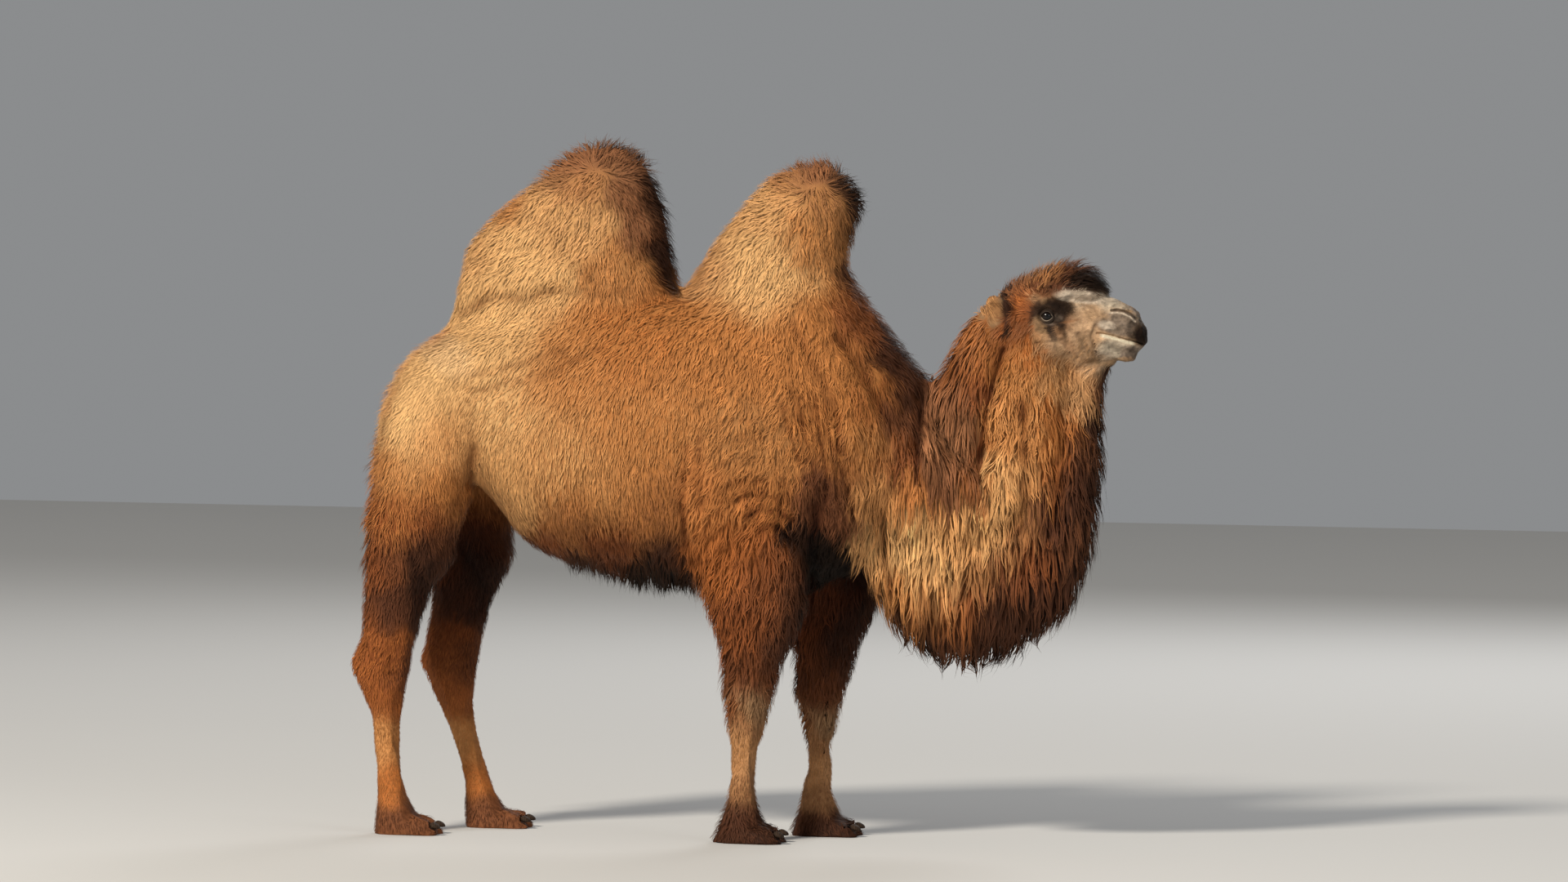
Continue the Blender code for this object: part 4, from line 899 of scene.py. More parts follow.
def shape_lids(points):
    """Lids that lie on the eyeball round an almond opening; in the opening the skin goes behind it."""
    for side in (-1, 1):
        gap, reach, out = eye_opening(points, side)
        near = (reach < EYE_RADIUS * 1.7) & (out > -0.02)
        ball = np.sqrt(np.maximum((EYE_RADIUS + 0.0018) ** 2 - reach**2, 0))
        rim = 0.0016 * np.exp(-((gap / 0.003) ** 2)) + 0.0022 * np.exp(-(((gap - 0.008) / 0.004) ** 2))
        blend = np.clip((reach / EYE_RADIUS - 0.80) / 0.75, 0, 1)
        blend = blend * blend * (3 - 2 * blend)
        lid = blended(ball + rim, out, blend)
        behind = np.sqrt(np.maximum(EYE_RADIUS**2 - reach**2, 0)) - 0.005
        wanted = np.where(gap < 0, behind, lid)
        points[near, 1] = (side * (EYE_MIDDLE[1] + wanted))[near]
    return points


def eye_rims(points, colour):
    """The dark lids, with a thin pale line along the lower edge and the front corner."""
    for side in (-1, 1):
        gap, reach, out = eye_opening(points, side)
        low = np.clip((EYE_MIDDLE[2] - 0.002 - points[:, 2]) / 0.004, 0, 1)
        edge = np.clip((EYE_RADIUS * LID_COLOURED - reach) / 0.005, 0, 1)
        lid = blended(np.array(SMOKE), STONE, low[:, None] * 0.8) * 0.75
        colour = blended(colour, lid, (edge * (out > -0.01))[:, None] * 0.85)
        corner = np.clip((points[:, 0] - EYE_MIDDLE[0] - 0.013) / 0.003, 0, 1)
        bright = 0.06 + 0.70 * np.maximum(low, corner)
        line = np.exp(-(((gap - 0.0010) / 0.0010) ** 2))
        near = (reach < EYE_RADIUS) & (out > 0)
        colour = blended(colour, BONE, (near * bright * line)[:, None])
    return colour


def pocket_share(points):
    """1 in the pockets, soft at their edge."""
    place = own_place(points)
    share = np.zeros(len(points))
    for x, z, reach in POCKETS:
        gap = np.hypot(place[:, 0] - x, place[:, 1] - z)
        share = np.maximum(share, np.clip(1.4 - gap / reach, 0, 1))
    return share


def coat_depth(traits):
    """How far the skin lies under the coat's outer surface."""
    return np.minimum(traits["length"] * (DEPTH_FLAT + DEPTH_LIFT * traits["lift"]), DEPTH_MOST)


def drawn_in(obj):
    """The form's points brought to the skin under the coat, with the coat's traits and its depth."""
    points, triangles = mesh_arrays(obj.data)
    face = face_share(points)
    thin = np.clip((0.62 - points[:, 2]) / 0.10, 0, 1)
    points = relaxed(points, triangles, 12, 0.5 * (1 - face) * (1 - thin))
    points = relaxed(points, triangles, 14, 0.5 * (1 - face) * thin, 1.04)
    points = relaxed(points, triangles, 16, 0.5 * face, 1.04)
    points = relaxed(points, triangles, 30, 0.5 * pocket_share(points))
    traits = coat_at(points)
    depth = coat_depth(traits)
    depth *= np.clip(points[:, 2] / 0.03, 0, 1)
    depth += BRIDGE * (points[:, 2] > 0.01)
    depth = relaxed(np.stack([depth] * 3, 1), triangles, 6, np.full(len(points), 0.5))[:, 0]
    depth *= 1 - 0.85 * ear_share(points)
    points = points - vertex_normals(points, triangles) * depth[:, None]
    points = relaxed(points, triangles, 3, 0.4 * (1 - face) * (1 - thin))
    return points, triangles, traits, depth


def make_skin():
    """The skin of the whole animal, and how deep the coat is at each of its points."""
    obj = form()
    thin_out(obj, SKIN_TRIANGLES)
    refine(obj, on_face)
    refine(obj, on_detail)
    points, triangles, traits, depth = drawn_in(obj)
    points = sculpt_body(points, triangles, traits)
    points = sculpt_face(points, triangles)
    points = shape_lids(points)
    points[:, 2] = np.maximum(points[:, 2], 0.0)
    obj.data.vertices.foreach_set("co", points.astype(np.float32).ravel())
    obj.data.update()
    obj.data.shade_smooth()
    return obj, depth


def ear_share(points):
    """1 at the ears."""
    share = np.zeros(len(points))
    for name in ("ear_right", "ear_left"):
        low, high = (np.array(corner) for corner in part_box(name))
        off = np.maximum(np.maximum(low - points, points - high), 0).max(1)
        share = np.maximum(share, np.clip(1 - off / 0.006, 0, 1))
    return share


def unwrap(obj):
    """The skin's own unwrap, on which every lock finds its patch."""
    bpy.ops.object.select_all(action="DESELECT")
    bpy.context.view_layer.objects.active = obj
    obj.select_set(True)
    obj.data.uv_layers.new(name="OFBake")
    bpy.ops.object.mode_set(mode="EDIT")
    bpy.ops.mesh.select_all(action="SELECT")
    bpy.ops.uv.smart_project(angle_limit=math.radians(66), island_margin=0.002)
    bpy.ops.object.mode_set(mode="OBJECT")


# ---------------------------------------------------------------- coat
REGIONS = (
    # piece, the first words of the nodes that it covers, slot
    ("trunk_rear", ("trunk",), "flank"),
    ("trunk_front", ("trunk",), "flank"),
    ("hump_rear", ("hump_rear",), "hump"),
    ("hump_front", ("hump_front",), "hump"),
    ("thigh", ("hind_thigh", "hind_gaskin"), "leg"),
    ("arm", ("fore_arm", "fore_forearm"), "leg"),
    ("hind_leg", ("hind_shank", "hind_foot"), "leg"),
    ("fore_leg", ("fore_shank", "fore_foot"), "leg"),
    ("neck", ("neck_lower", "neck_upper", "mane"), "dark"),
    ("beard", ("beard",), "dark"),
    ("head", ("head", "ear", "topknot"), "face"),
    ("tail", ("tail",), "dark"),
)
TRUNK_REAR, TRUNK_FRONT = 0, 1
TRUNK_CUT = -0.42  # where along X the trunk's coat is cut in two pieces


class Surface:
    """A closed triangle surface that answers where its nearest point is."""

    def __init__(self, points, triangles):
        self.points = points
        self.triangles = triangles
        self.normals = vertex_normals(points, triangles)
        self.tree = BVHTree.FromPolygons(points.tolist(), triangles.tolist(), all_triangles=True)

    def nearest(self, places):
        """Nearest points on the surface, and the smooth normals there."""
        spots = np.empty_like(places)
        faces = np.empty(len(places), np.int64)
        find = self.tree.find_nearest
        for i, place in enumerate(places.tolist()):
            spot, _, face, _ = find(place)
            spots[i] = spot
            faces[i] = face
        return spots, self.normal_at(spots, faces)

    def normal_at(self, spots, faces):
        """The smooth normals at spots in faces."""
        share = self.shares(spots, faces)
        normal = (self.normals[self.triangles[faces]] * share[:, :, None]).sum(1)
        return normal / np.maximum(np.linalg.norm(normal, axis=1, keepdims=True), 1e-9)

    def shares(self, spots, faces):
        """Barycentric shares of spots in their faces."""
        a, b, c = (self.points[self.triangles[faces, i]] for i in range(3))
        whole = np.cross(b - a, c - a)
        size = np.maximum((whole**2).sum(1), 1e-20)
        first = (np.cross(b - spots, c - spots) * whole).sum(1) / size
        second = (np.cross(c - spots, a - spots) * whole).sum(1) / size
        share = np.clip(np.stack([first, second, 1 - first - second], 1), 0, 1)
        return share / share.sum(1, keepdims=True)


def unit(vectors):
    """The vectors at length 1."""
    return vectors / np.maximum(np.linalg.norm(vectors, axis=-1, keepdims=True), 1e-9)


def lock_width(length):
    """How wide a lock of that length is."""
    widths = (0.0021, 0.0028, 0.0036, 0.0047, 0.0060)
    return np.interp(length, (0.008, 0.020, 0.040, 0.070, 0.120), widths)


def spikiness(traits):
    """1 where the coat stands up in spikes, 0 where it lies."""
    return np.clip((traits["lift"] - SPIKY_LIFT) / 0.15, 0, 1)


def density_at(traits):
    """Locks for each square metre."""
    length = traits["length"]
    width = lock_width(length) * traits["fine"]
    cover = np.interp(length, (0.008, 0.014, 0.030, 0.060, 0.120), (0.86, 1.03, 1.55, 2.45, 3.9))
    return cover / (length * width)


def bare(points):
    """Where no lock may start: eyes, nostrils, lips and soles."""
    place = own_place(points)
    open_eye = np.zeros(len(points), bool)
    for side in (-1, 1):
        _, reach, out = eye_opening(points, side)
        open_eye |= (reach < EYE_RADIUS * LID_BARE) & (out > -0.01)
    return (
        open_eye
        | (from_line(place, NOSTRIL) < 0.006) & (points[:, 0] > 1.1)
        | (from_line(place, MOUTH) < 0.012) & (points[:, 0] > 1.09)
        | (points[:, 2] < 0.012)
    )


def sow(surface):
    """Roots spread over the skin by how dense the coat is, with their faces and shares in them."""
    corner = surface.points[surface.triangles]
    middle = corner.mean(1)
    whole = np.cross(corner[:, 1] - corner[:, 0], corner[:, 2] - corner[:, 0])
    area = np.linalg.norm(whole, axis=1) / 2
    wanted = area * density_at(coat_at(middle)) * (1 - bare(middle))
    count = np.floor(wanted + RANDOM.random(len(wanted))).astype(int)
    faces = np.repeat(np.arange(len(count)), count)
    first, second = RANDOM.random((2, len(faces)))
    over = first + second > 1
    first[over], second[over] = 1 - first[over], 1 - second[over]
    share = np.stack([1 - first - second, first, second], 1)
    return (corner[faces] * share[:, :, None]).sum(1), faces, share


def comb(points, normals, traits, turn):
    """The way the coat lies at points on a surface, turned by turn in its plane."""
    lie = np.stack([traits["lie"][:, 0], np.zeros(len(points)), traits["lie"][:, 1]], 1)
    lie = unit(lie) + np.array((-0.06, 0, 0))
    flat = unit(lie - (lie * normals).sum(1)[:, None] * normals)
    side = np.cross(normals, flat)
    return flat * np.cos(turn)[:, None] + side * np.sin(turn)[:, None]


def gather(roots, traits):
    """The clump each lock belongs to, as the index of the clump's own middle lock."""
    spacing = 0.010 + 0.20 * traits["length"]
    cover = density_at(traits) * spacing**2
    chosen = np.nonzero(RANDOM.random(len(roots)) < 1 / np.maximum(cover, 1.0))[0]
    tree = KDTree(len(chosen))
    for i, index in enumerate(chosen.tolist()):
        tree.insert(roots[index], i)
    tree.balance()
    nearest = [tree.find(root)[1] for root in roots.tolist()]
    return chosen[np.array(nearest)]


def habit_of(own, normal, stray):
    """How each lock grows: how long, how high, how turned, how it hangs and swings, and how far it
    is pulled to its clump. Part of each is the same for a whole clump."""
    wave, proud = own["wave"], np.clip(own["lift"] - 0.5, 0, 0.4)
    vary = RANDOM.normal(size=(4, len(wave)))
    shared = vary[:, own["clump"]]
    uneven = np.interp(own["length"], (0.05, 0.12), (0.12, 0.24))
    length = own["length"] * np.clip(1 + 0.10 * vary[0] + uneven * shared[1] + 0.35 * stray, 0.55, 1.7)
    turn = (0.08 * vary[2] + 0.16 * shared[3]) * (0.4 + wave) + 0.35 * stray * vary[2]
    turn += 0.28 * wave * mottle(own["root"], 0.20, 3)
    phase = 3.0 * mottle(own["root"], 0.09, 6) + 0.7 * shared[3] + 0.4 * vary[0]
    high = 0.92 + 0.10 * vary[1] + (0.16 + 0.5 * proud) * shared[0] + (0.5 + 1.8 * proud) * stray
    rise = np.minimum(own["depth"] * np.clip(high, 0.45, 2.3), 0.8 * length)
    ragged = np.clip(-2 * normal[:, 2], 0, 1) * np.clip((own["lift"] - 0.5) / 0.2, 0, 1)
    hang = np.minimum(np.clip((length - 0.050) / 0.06, 0, 0.75) + 0.6 * ragged, 0.85)
    swing = np.interp(length, (0.05, 0.10), (0.32, 0.17)) * np.minimum(wave, 1.0)
    pull = (np.interp(length, (0.03, 0.12), (0.40, 0.88)) + 0.35 * spikiness(own)) * (1 - stray)
    reach = length * np.sqrt(1 - (rise / length) ** 2)
    return SimpleNamespace(length=length, reach=reach, turn=turn, phase=phase, proud=proud,
                           rise=rise, hang=hang, swing=swing, pull=pull)


def grow(skin, own, rings, stray):
    """Paths of the locks, as rings of points, with the up direction at each ring and how deep it is
    in a fold."""
    roots = own["root"]
    normal = skin.normal_at(roots, own["face"])
    habit = habit_of(own, normal, stray)
    place = roots - normal * LOCK_SINK
    path, ups, deep = [place], [normal], [crease(roots)]
    to_clump = roots[own["clump"]] - roots
    for k, (start, end) in enumerate(zip(rings, rings[1:])):
        here = coat_at(place) if k == 2 else own
        way = comb(place, normal, here, habit.turn)
        way = unit(blended(way, (0, 0, -1.0), habit.hang[:, None]))
        bend = habit.phase + start * (4 + 45 * np.minimum(habit.length, 0.08))
        way = unit(way + np.cross(normal, way) * (np.cos(bend) * habit.swing)[:, None])
        place = place + way * (habit.reach * (end - start))[:, None]
        place = place + to_clump * (habit.pull * (end**1.3 - start**1.3))[:, None]
        spot, normal = skin.nearest(place)
        fold = crease(spot)
        arch = math.sin(1.5708 * end) * 0.7 + 0.3 * end
        height = habit.rise * (arch + 1.6 * habit.proud * (end - arch)) * (1 - 0.75 * fold)
        far = ((place - spot) * normal).sum(1)
        loose = np.maximum(far - height, 0) * habit.hang
        place = spot + normal * (height + loose)[:, None]
        place[:, 2] = np.maximum(place[:, 2], FLOOR_GAP)
        path.append(place)
        ups.append(normal)
        deep.append(fold)
    return np.stack(path, 1), np.stack(ups, 1), np.stack(deep, 1)


def by_point(values):
    """What holds for each ring, given to each point of its lock: three at a ring, one at the tip."""
    return np.concatenate([np.repeat(values[:, :-1], 3, axis=1), values[:, -1:]], 1)


def lock_points(path, ups, width):
    """The points of each lock: left edge, ridge and right edge at each ring, and the tip."""
    rings = path.shape[1]
    ahead = unit(np.gradient(path, axis=1))
    side = np.cross(ahead, ups)
    for k in range(1, rings):
        turned = np.sign((side[:, k] * side[:, k - 1]).sum(1))[:, None]
        side[:, k] = unit(side[:, k]) * np.where(turned < 0, -1, 1) + 0.35 * unit(side[:, k - 1])
    side = unit(side)
    profile = np.interp(np.linspace(0, 1, rings), (0, 0.3, 0.7, 1), (0.85, 1.0, 0.55, 0.0))
    half = width[:, None] * profile[None, :] / 2
    left = path - side * half[:, :, None]
    right = path + side * half[:, :, None]
    thick = LOCK_RIDGE * np.interp(width, (0.0020, 0.0040), (0.45, 1.0))[:, None]
    ridge = path + np.cross(side, ahead) * (half * thick)[:, :, None]
    body = np.stack([left, ridge, right], 2)[:, :-1].reshape(len(path), -1, 3)
    points = np.concatenate([body, path[:, -1:]], 1)
    points[:, :, 2] = np.maximum(points[:, :, 2], EDGE_GAP)
    return points.reshape(-1, 3)


def lock_triangles(count, rings):
    """The triangles of that many closed locks."""
    tip = 3 * (rings - 1)
    pattern = []
    for k in range(rings - 2):
        for s in range(3):
            a, b = 3 * k + s, 3 * k + (s + 1) % 3
            pattern += [(a, b, a + 3), (b, b + 3, a + 3)]
    last = tip - 3
    pattern += [(last, last + 1, tip), (last + 1, last + 2, tip), (last + 2, last, tip), (0, 2, 1)]
    starts = np.arange(count) * (tip + 1)
    return (np.array(pattern)[None] + starts[:, None, None]).reshape(-1, 3)


def lock_colours(own, along, deep):
    """Each lock's colours from root to tip, with painted shade at the root of long hair and in a fold.
    """
    colour = blended(own["low"][:, None], own["high"][:, None], along[None, :, None] ** 1.2)
    colour = colour * own["bright"][:, None, None]
    # painted shade at the root of long hair
    shadow = np.interp(own["length"], (0.010, 0.040), (0.97, ROOT_SHADE))
    fade = np.interp(along, (0, 0.5), (1, 0))[None, :, None]
    colour = colour * (1 - (1 - shadow)[:, None, None] * fade * SHADE_TINT)
    # painted shade in the folds
    colour = colour * (1 - FOLD_SHADE * by_point(deep)[:, :, None] * SHADE_TINT)
    return np.clip(colour, 0, 0.95).reshape(-1, 3)


def tuft_mesh(name, path, ups, deep, width, own):
    """Closed, flattened, tapered locks on those paths, with their colours and their bake map."""
    count, rings = path.shape[:2]
    points = lock_points(path, ups, width)
    triangles = lock_triangles(count, rings)
    mesh = mesh_from(name, points, triangles)
    along = by_point(np.linspace(0, 1, rings)[None])[0]
    across = np.append(np.tile((-1.0, 0.0, 1.0), rings - 1), 0.0)
    paint(mesh, "tint", lock_colours(own, along, deep))
    store(mesh, "along", np.tile(along, count))
    store(mesh, "across", np.tile(across, count))
    store(mesh, "lock", np.repeat(RANDOM.random(count), len(along)))
    patch = np.stack([across * 0.5, along - 0.5], 1) * BAKE_PATCH
    spread = (own["uv"][:, None] + patch[None]).reshape(-1, 2)
    layer = mesh.uv_layers.new(name="OFBake")
    layer.data.foreach_set("uv", spread[triangles.ravel()].astype(np.float32).ravel())
    mesh.shade_smooth()
    soften(mesh, points, triangles, by_point(ups).reshape(-1, 3), np.repeat(width, len(along)))
    return mesh


def soften(mesh, points, triangles, form_up, width):
    """Shades each lock partly as the form under it, which is how a deep coat scatters light."""
    share = np.interp(width, (0.0022, 0.0034), (0.95, SOFTNESS))[:, None]
    mixed = unit(blended(vertex_normals(points, triangles), form_up, share))
    mesh.normals_split_custom_set_from_vertices(mixed.tolist())


def region_of(roots):
    """For each root, the number of its region: the one whose solid is nearest."""
    best = np.full(len(roots), 9.0)
    found = np.full(len(roots), TRUNK_REAR)
    for index, (_, nodes, _) in enumerate(REGIONS):
        for name in flesh_nodes():
            if index == TRUNK_FRONT or not name.startswith(nodes):
                continue
            low, high = (np.array(corner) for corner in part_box(name))
            close = np.nonzero((roots > low - 0.02).all(1) & (roots < high + 0.02).all(1))[0]
            points, triangles = mesh_arrays(frame["nodes"][name].data)
            tree = BVHTree.FromPolygons(points.tolist(), triangles.tolist(), all_triangles=True)
            gap = np.array([tree.find_nearest(root)[3] for root in roots[close].tolist()])
            nearer = gap < best[close]
            best[close[nearer]] = gap[nearer]
            found[close[nearer]] = index
    found[(found == TRUNK_REAR) & (roots[:, 0] > TRUNK_CUT)] = TRUNK_FRONT
    return found


def unwrapped(obj):
    """Where the corners of each triangle lie on the unwrap."""
    obj.data.calc_loop_triangles()
    uv = np.empty(len(obj.data.loops) * 2)
    obj.data.uv_layers["OFBake"].data.foreach_get("uv", uv)
    loops = np.empty(len(obj.data.loop_triangles) * 3, np.int64)
    obj.data.loop_triangles.foreach_get("loops", loops)
    return uv.reshape(-1, 2)[loops].reshape(-1, 3, 2)


def colour_locks(locks):
    """Gives each lock its colours at root and tip, and how bright it is; a clump shares part of it."""
    roots, clump, length = locks["root"], locks["clump"], locks["length"]
    mix = np.clip(0.25 + 0.40 * RANDOM.normal(size=len(roots)), 0, 1)[clump, None]
    mix = mix * np.interp(length, (0.02, 0.05), (0.2, 0.9))[:, None]
    locks["low"] = marked(roots, blended(locks["colour"], locks["tip"], mix))
    locks["high"] = marked(roots, blended(locks["tip"], locks["colour"], mix))
    alone = 0.06 * RANDOM.normal(size=len(roots))
    shared = np.interp(length, (0.05, 0.11), (0.08, 0.20)) * RANDOM.normal(size=len(roots))[clump]
    bright = 1 + np.interp(length, (0.010, 0.030), (0.5, 1.0)) * (alone + shared)
    bright += 0.10 * mottle(roots, 0.11, 5) + 0.10 * streaks(roots) * (0.4 + locks["wave"])
    locks["bright"] = np.clip(bright, 0.45, 1.6)


def plant(skin, depth, corner_uv):
    """All locks of the coat, as arrays: the traits and colours of each, its root, the skin's face
    under it, the coat's depth there, its clump and its place on the unwrap."""
    roots, faces, share = sow(skin)
    locks = coat_at(roots)
    locks["clump"] = gather(roots, locks)
    locks["root"] = roots
    locks["face"] = faces
    locks["uv"] = (corner_uv[faces] * share[:, :, None]).sum(1)
    locks["depth"] = (depth[skin.triangles[faces]] * share).sum(1)
    colour_locks(locks)
    return locks


def make_coat(skin_obj, depth):
    """The coat over the skin, one piece for each region and side."""
    skin = Surface(*mesh_arrays(skin_obj.data))
    locks = plant(skin, depth, unwrapped(skin_obj))
    region = region_of(locks["root"])
    left = locks["root"][:, 1] > 0
    for index, (name, _, slot) in enumerate(REGIONS):
        for side, on_side in (("right", ~left), ("left", left)):
            chosen = np.nonzero((region == index) & on_side)[0]
            if len(chosen):
                coat_piece(f"coat_{name}_{side}", skin, locks, chosen)


def coat_piece(name, skin, locks, chosen):
    """One piece of the coat, made of the chosen locks."""
    own = {key: value[chosen] for key, value in locks.items()}
    new_number = {int(old): new for new, old in enumerate(chosen)}
    own["clump"] = np.array([new_number.get(int(c), i) for i, c in enumerate(own["clump"])])
    bends = int(np.searchsorted(RING_STEPS, float(np.median(own["length"]))))
    many = STRAYS + 0.5 * np.clip(own["lift"] - 0.45, 0, 0.35)
    stray = (RANDOM.random(len(chosen)) < many) * np.interp(own["length"], (0.014, 0.03), (0, 1.0))
    path, ups, deep = grow(skin, own, np.linspace(0, 1, 3 + bends), stray)
    width = lock_width(own["length"]) * (0.8 + 0.4 * RANDOM.random(len(chosen))) * (1 - 0.6 * stray)
    width = width * own["fine"] * (1 + 0.6 * spikiness(own))
    obj = link(name, tuft_mesh(name, path, ups, deep, width, own))
    obj.data.materials.append(coat_material())
    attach(obj, "root")


# ---------------------------------------------------------------- materials
class Recipe:
    """A material, with short ways to add to its nodes."""

    def __init__(self, name):
        self.material = bpy.data.materials.new(name)
        self.material.use_nodes = True
        self.nodes = self.material.node_tree.nodes
        self.link = self.material.node_tree.links.new
        self.shader = self.nodes["Principled BSDF"]

    def add(self, kind, **values):
        """A node of that kind, with values on its inputs."""
        made = self.nodes.new(kind)
        for name, value in values.items():
            made.inputs[name.title()].default_value = value
        return made

    def attribute(self, name, output="Fac"):
        """What the mesh stores under that name."""
        made = self.add("ShaderNodeAttribute")
        made.attribute_name = name
        return made.outputs[output]

    def noise(self, where, **values):
        """Noise over a vector."""
        made = self.add("ShaderNodeTexNoise", **values)
        self.link(where, made.inputs["Vector"])
        return made.outputs["Fac"]

    def maths(self, operation, *values):
        """A sum or product of sockets and numbers."""
        made = self.add("ShaderNodeMath")
        made.operation = operation
        for socket, value in zip(made.inputs, values):
            if isinstance(value, (int, float)):
                socket.default_value = value
            else:
                self.link(value, socket)
        return made.outputs[0]

    def tinted(self, colour, factor):
        """Gives the shader the colour times a grey factor."""
        made = self.add("ShaderNodeVectorMath")
        made.operation = "SCALE"
        self.link(colour, made.inputs[0])
        self.link(factor, made.inputs["Scale"])
        self.link(made.outputs[0], self.shader.inputs["Base Color"])

    def ramp(self, factor, dark, pale):
        """Gives the shader a colour between two by a factor."""
        made = self.add("ShaderNodeValToRGB")
        made.color_ramp.elements[0].color = (*dark, 1)
        made.color_ramp.elements[1].color = (*pale, 1)
        self.link(factor, made.inputs["Fac"])
        self.link(made.outputs["Color"], self.shader.inputs["Base Color"])

    def relief(self, height, strength, distance):
        """Gives the shader a relief by a height."""
        bump = self.add("ShaderNodeBump", strength=strength, distance=distance)
        self.link(height, bump.inputs["Height"])
        self.link(bump.outputs["Normal"], self.shader.inputs["Normal"])

    def finish(self, values):
        """Sets the shader's own constants and gives the material."""
        for name, value in values.items():
            self.shader.inputs[name].default_value = value
        return self.material


@cache
def coat_material():
    """Hair locks: their own colour, fine strands along them, a soft sheen."""
    made = Recipe("coat")
    place = made.add("ShaderNodeCombineXYZ")
    for socket, (name, strands) in enumerate((("across", 6.0), ("along", 0.8), ("lock", 90.0))):
        made.link(made.maths("MULTIPLY", made.attribute(name), strands), place.inputs[socket])
    strand = made.noise(place.outputs[0], scale=1.0, detail=2.0)
    factor = made.maths("ADD", made.maths("MULTIPLY", strand, 0.9), 0.55)
    made.tinted(made.attribute("tint", "Color"), factor)
    made.relief(strand, 0.5, 0.0012)
    return made.finish({
        "Roughness": 0.62,
        "Specular IOR Level": 0.11,
        "Sheen Weight": 0.035,
        "Sheen Roughness": 0.45,
        "Sheen Tint": (1.0, 0.76, 0.52, 1.0),
    })


def skin_material():
    """Short flat hair on hide: fine grain along the hair in colour and in relief."""
    made = Recipe("hide")
    where = made.add("ShaderNodeTexCoord").outputs["Object"]
    mixed = made.add("ShaderNodeMix")
    made.link(made.attribute("upright"), mixed.inputs["Factor"])
    for socket, stretch in (("A", (140.0, 620.0, 620.0)), ("B", (520.0, 520.0, 130.0))):
        squeeze = made.add("ShaderNodeMapping", scale=stretch)
        made.link(where, squeeze.inputs["Vector"])
        made.link(made.noise(squeeze.outputs[0], scale=1.0, detail=3.0), mixed.inputs[socket])
    hair = mixed.outputs["Result"]
    broad = made.noise(where, scale=38.0, detail=4.0)
    both = made.maths("ADD", hair, made.maths("MULTIPLY", broad, 0.5))
    made.tinted(made.attribute("tint", "Color"), made.maths("ADD", both, 0.25))
    made.relief(hair, 0.6, 0.002)
    return made.finish({
        "Roughness": 0.7,
        "Specular IOR Level": 0.09,
        "Sheen Weight": 0.012,
        "Sheen Roughness": 0.5,
    })


@cache
def eye_material():
    """Dark brown iris round a black pupil under a clear wet front."""
    made = Recipe("eyeball")
    where = made.add("ShaderNodeTexCoord").outputs["Object"]
    fleck = made.noise(where, scale=600.0, detail=3.0)
    factor = made.maths("ADD", made.maths("MULTIPLY", fleck, 0.8), 0.6)
    made.tinted(made.attribute("tint", "Color"), factor)
    return made.finish({
        "Roughness": 0.30,
        "Specular IOR Level": 0.05,
        "Coat Weight": 0.50,
        "Coat Roughness": 0.09,
    })


@cache
def horn_material():
    """Worn horn with growth lines."""
    made = Recipe("horn")
    where = made.add("ShaderNodeTexCoord").outputs["Object"]
    lines = made.add("ShaderNodeTexWave", scale=45.0, distortion=6.0, detail=4.0)
    made.link(where, lines.inputs["Vector"])
    grain = made.noise(where, scale=160.0, detail=4.0)
    worn = made.maths("MULTIPLY", made.maths("ADD", lines.outputs["Fac"], grain), 0.55)
    made.ramp(worn, (0.012, 0.009, 0.007), (0.060, 0.034, 0.020))
    made.relief(worn, 0.4, 0.001)
    return made.finish({"Roughness": 0.75, "Specular IOR Level": 0.15})


def floor_material():
    """A plain pale floor, barely uneven in tone."""
    made = Recipe("pale_floor")
    grain = made.add("ShaderNodeTexNoise", scale=3.0, detail=5.0)
    made.ramp(grain.outputs["Fac"], (0.60, 0.585, 0.56), (0.66, 0.645, 0.62))
    return made.finish({"Roughness": 0.9})


# ---------------------------------------------------------------- eyes and nails
# Degrees off the gaze and colour: the edge, the iris and the pupil
EYE_RINGS = ((181, (0.012, 0.007, 0.005)), (50, (0.006, 0.003, 0.002)), (24, (0.002, 0.0015, 0.0015)))


def make_eye(name, side):
    """An eyeball with its iris and pupil, in its solid's place."""
    low, high = (np.array(corner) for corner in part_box(name))
    middle, radius = (low + high) / 2, (high - low).min() / 2
    ball = bmesh.new()
    bmesh.ops.create_uvsphere(ball, u_segments=48, v_segments=32, radius=radius)
    bmesh.ops.rotate(ball, verts=ball.verts, matrix=Matrix.Rotation(-side * math.pi / 2, 3, "X"))
    bmesh.ops.triangulate(ball, faces=ball.faces)
    mesh = bpy.data.meshes.new(f"eyeball_{name[4:]}")
    ball.to_mesh(mesh)
    ball.free()
    points, _ = mesh_arrays(mesh)
    gaze = unit(np.array([(0.30, side * 0.95, -0.05)]))[0]
    off = np.degrees(np.arccos(np.clip(points @ gaze / radius, -1, 1)))
    colour = np.empty((len(points), 3))
    for reach, shade in EYE_RINGS:
        colour[off < reach] = shade
    paint(mesh, "tint", colour)
    mesh.vertices.foreach_set("co", (points + middle).astype(np.float32).ravel())
    mesh.update()
    mesh.shade_smooth()
    obj = link(mesh.name, mesh)
    obj.data.materials.append(eye_material())
    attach(obj, "root")
    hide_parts(name)


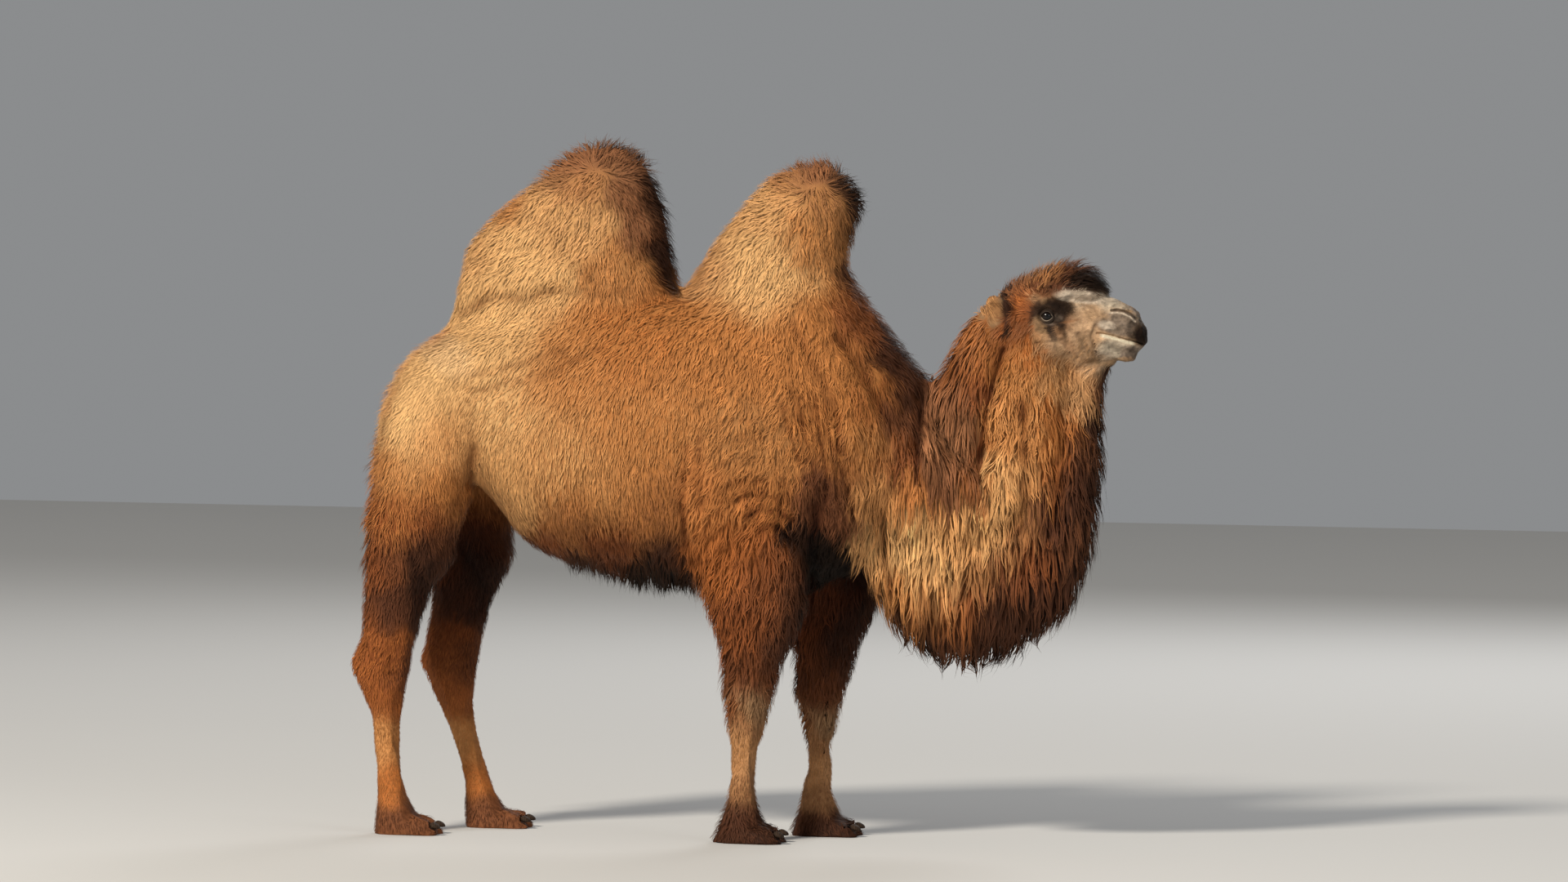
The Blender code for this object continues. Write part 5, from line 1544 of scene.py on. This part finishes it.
def make_nail(name):
    """A short blunt nail, flat below and narrower towards its tip, in its solid's place."""
    points, triangles = welded_solid(name)
    middle = (points.max(0) + points.min(0)) / 2
    half = (points.max(0) - points.min(0)) / 2
    local = (points - middle) / half
    ahead = np.clip(local[:, 0], 0, 1)
    local[:, 1] *= 1 - 0.30 * ahead**2
    local[:, 2] = np.where(local[:, 2] > 0, local[:, 2] * (0.80 - 0.30 * ahead), local[:, 2])
    local[:, 2] = np.maximum(local[:, 2], -0.55)
    points = middle + local * half
    obj = link(f"claw_{name}", mesh_from(f"claw_{name}", points, triangles))
    smooth = obj.modifiers.new("round", "SUBSURF")
    smooth.levels = 2
    settle(obj)
    obj.data.shade_smooth()
    obj.data.materials.append(horn_material())
    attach(obj, "root")
    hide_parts(name)


# ---------------------------------------------------------------- camera, light and floor
SIGHT = Vector((0.106 + SHIFT_X, 0.0, 1.267))  # the point in the middle of the picture
DISTANCE = 28.0
AZIMUTH = math.radians(8.0)
ELEVATION = math.radians(1.46)
ROLL = math.radians(0.9)
LENS = 202.1


def make_camera():
    """The camera at the photo's viewing angle."""
    flat = math.cos(ELEVATION)
    away = Vector((math.sin(AZIMUTH) * flat, -math.cos(AZIMUTH) * flat, math.sin(ELEVATION)))
    turn = away.to_track_quat("Z", "Y").to_matrix() @ Matrix.Rotation(ROLL, 3, "Z")
    camera = bpy.data.objects.new("camera", bpy.data.cameras.new("camera"))
    camera.data.lens = LENS
    camera.data.sensor_width = 36.0
    camera.data.clip_end = 200.0
    camera.matrix_world = Matrix.Translation(SIGHT + away * DISTANCE) @ turn.to_4x4()
    bpy.context.scene.collection.objects.link(camera)
    bpy.context.scene.camera = camera


def make_light(name, place, size, power, colour):
    """A round lamp aimed at the animal's middle."""
    lamp = bpy.data.lights.new(name, "AREA")
    lamp.shape = "DISK"
    lamp.size = size
    lamp.energy = power
    lamp.color = colour
    obj = bpy.data.objects.new(name, lamp)
    obj.location = place
    obj.rotation_euler = (Vector(place) - Vector((0, 0, 1.0))).to_track_quat("Z", "Y").to_euler()
    bpy.context.scene.collection.objects.link(obj)


def make_stage():
    """Soft studio light and a plain floor."""
    bpy.context.scene.view_settings.view_transform = "Standard"
    make_light("key", (-9.0, -19.0, 15.0), 4.0, 7100, (1.0, 0.94, 0.84))
    make_light("fill", (9.0, -9.0, 5.0), 6.0, 150, (0.92, 0.96, 1.0))
    make_light("back", (3.0, 14.0, 9.0), 6.0, 700, (0.95, 0.97, 1.0))
    world = bpy.data.worlds.new("studio")
    world.use_nodes = True
    sky = world.node_tree.nodes["Background"]
    sky.inputs["Color"].default_value = (0.86, 0.88, 0.90, 1)
    sky.inputs["Strength"].default_value = 0.30
    bpy.context.scene.world = world
    ground = bmesh.new()
    bmesh.ops.create_grid(ground, x_segments=1, y_segments=1, size=30)
    mesh = bpy.data.meshes.new("floor")
    ground.to_mesh(mesh)
    ground.free()
    floor = link("floor", mesh)
    floor.data.materials.append(floor_material())
    floor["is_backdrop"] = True


def dress_skin(skin):
    """The skin's colours, material and place in the frame."""
    points, _ = mesh_arrays(skin.data)
    traits = coat_at(points)
    colour = eye_rims(points, lips(points, marked(points, traits["colour"])))
    # painted shade in the folds
    colour = colour * (1 - FOLD_SHADE * crease(points)[:, None] * SHADE_TINT)
    # painted shade: the skin seen between long locks is darker
    under = np.interp(traits["length"], (0.010, 0.030), (0.95, 0.70))
    paint(skin.data, "tint", np.clip(colour * under[:, None], 0, 0.95))
    store(skin.data, "upright", 1 - face_share(points))
    skin.data.materials.append(skin_material())
    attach(skin, "root")
    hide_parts(*flesh_nodes())


def write_sizes():
    """Works out the boxes of the solids and of the finished model; they are not kept."""
    sizes = {"cad": CAD_BOX, "visual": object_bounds()}
    sizes = {key: [[float(v) for v in corner] for corner in box] for key, box in sizes.items()}


def main():
    """The whole picture."""
    make_camera()
    make_stage()
    skin, depth = make_skin()
    unwrap(skin)
    dress_skin(skin)
    make_coat(skin, depth)
    for side, name in ((-1, "eye_right"), (1, "eye_left")):
        make_eye(name, side)
    for name in frame["nodes"]:
        if "nail" in name:
            make_nail(name)
    write_sizes()


main()
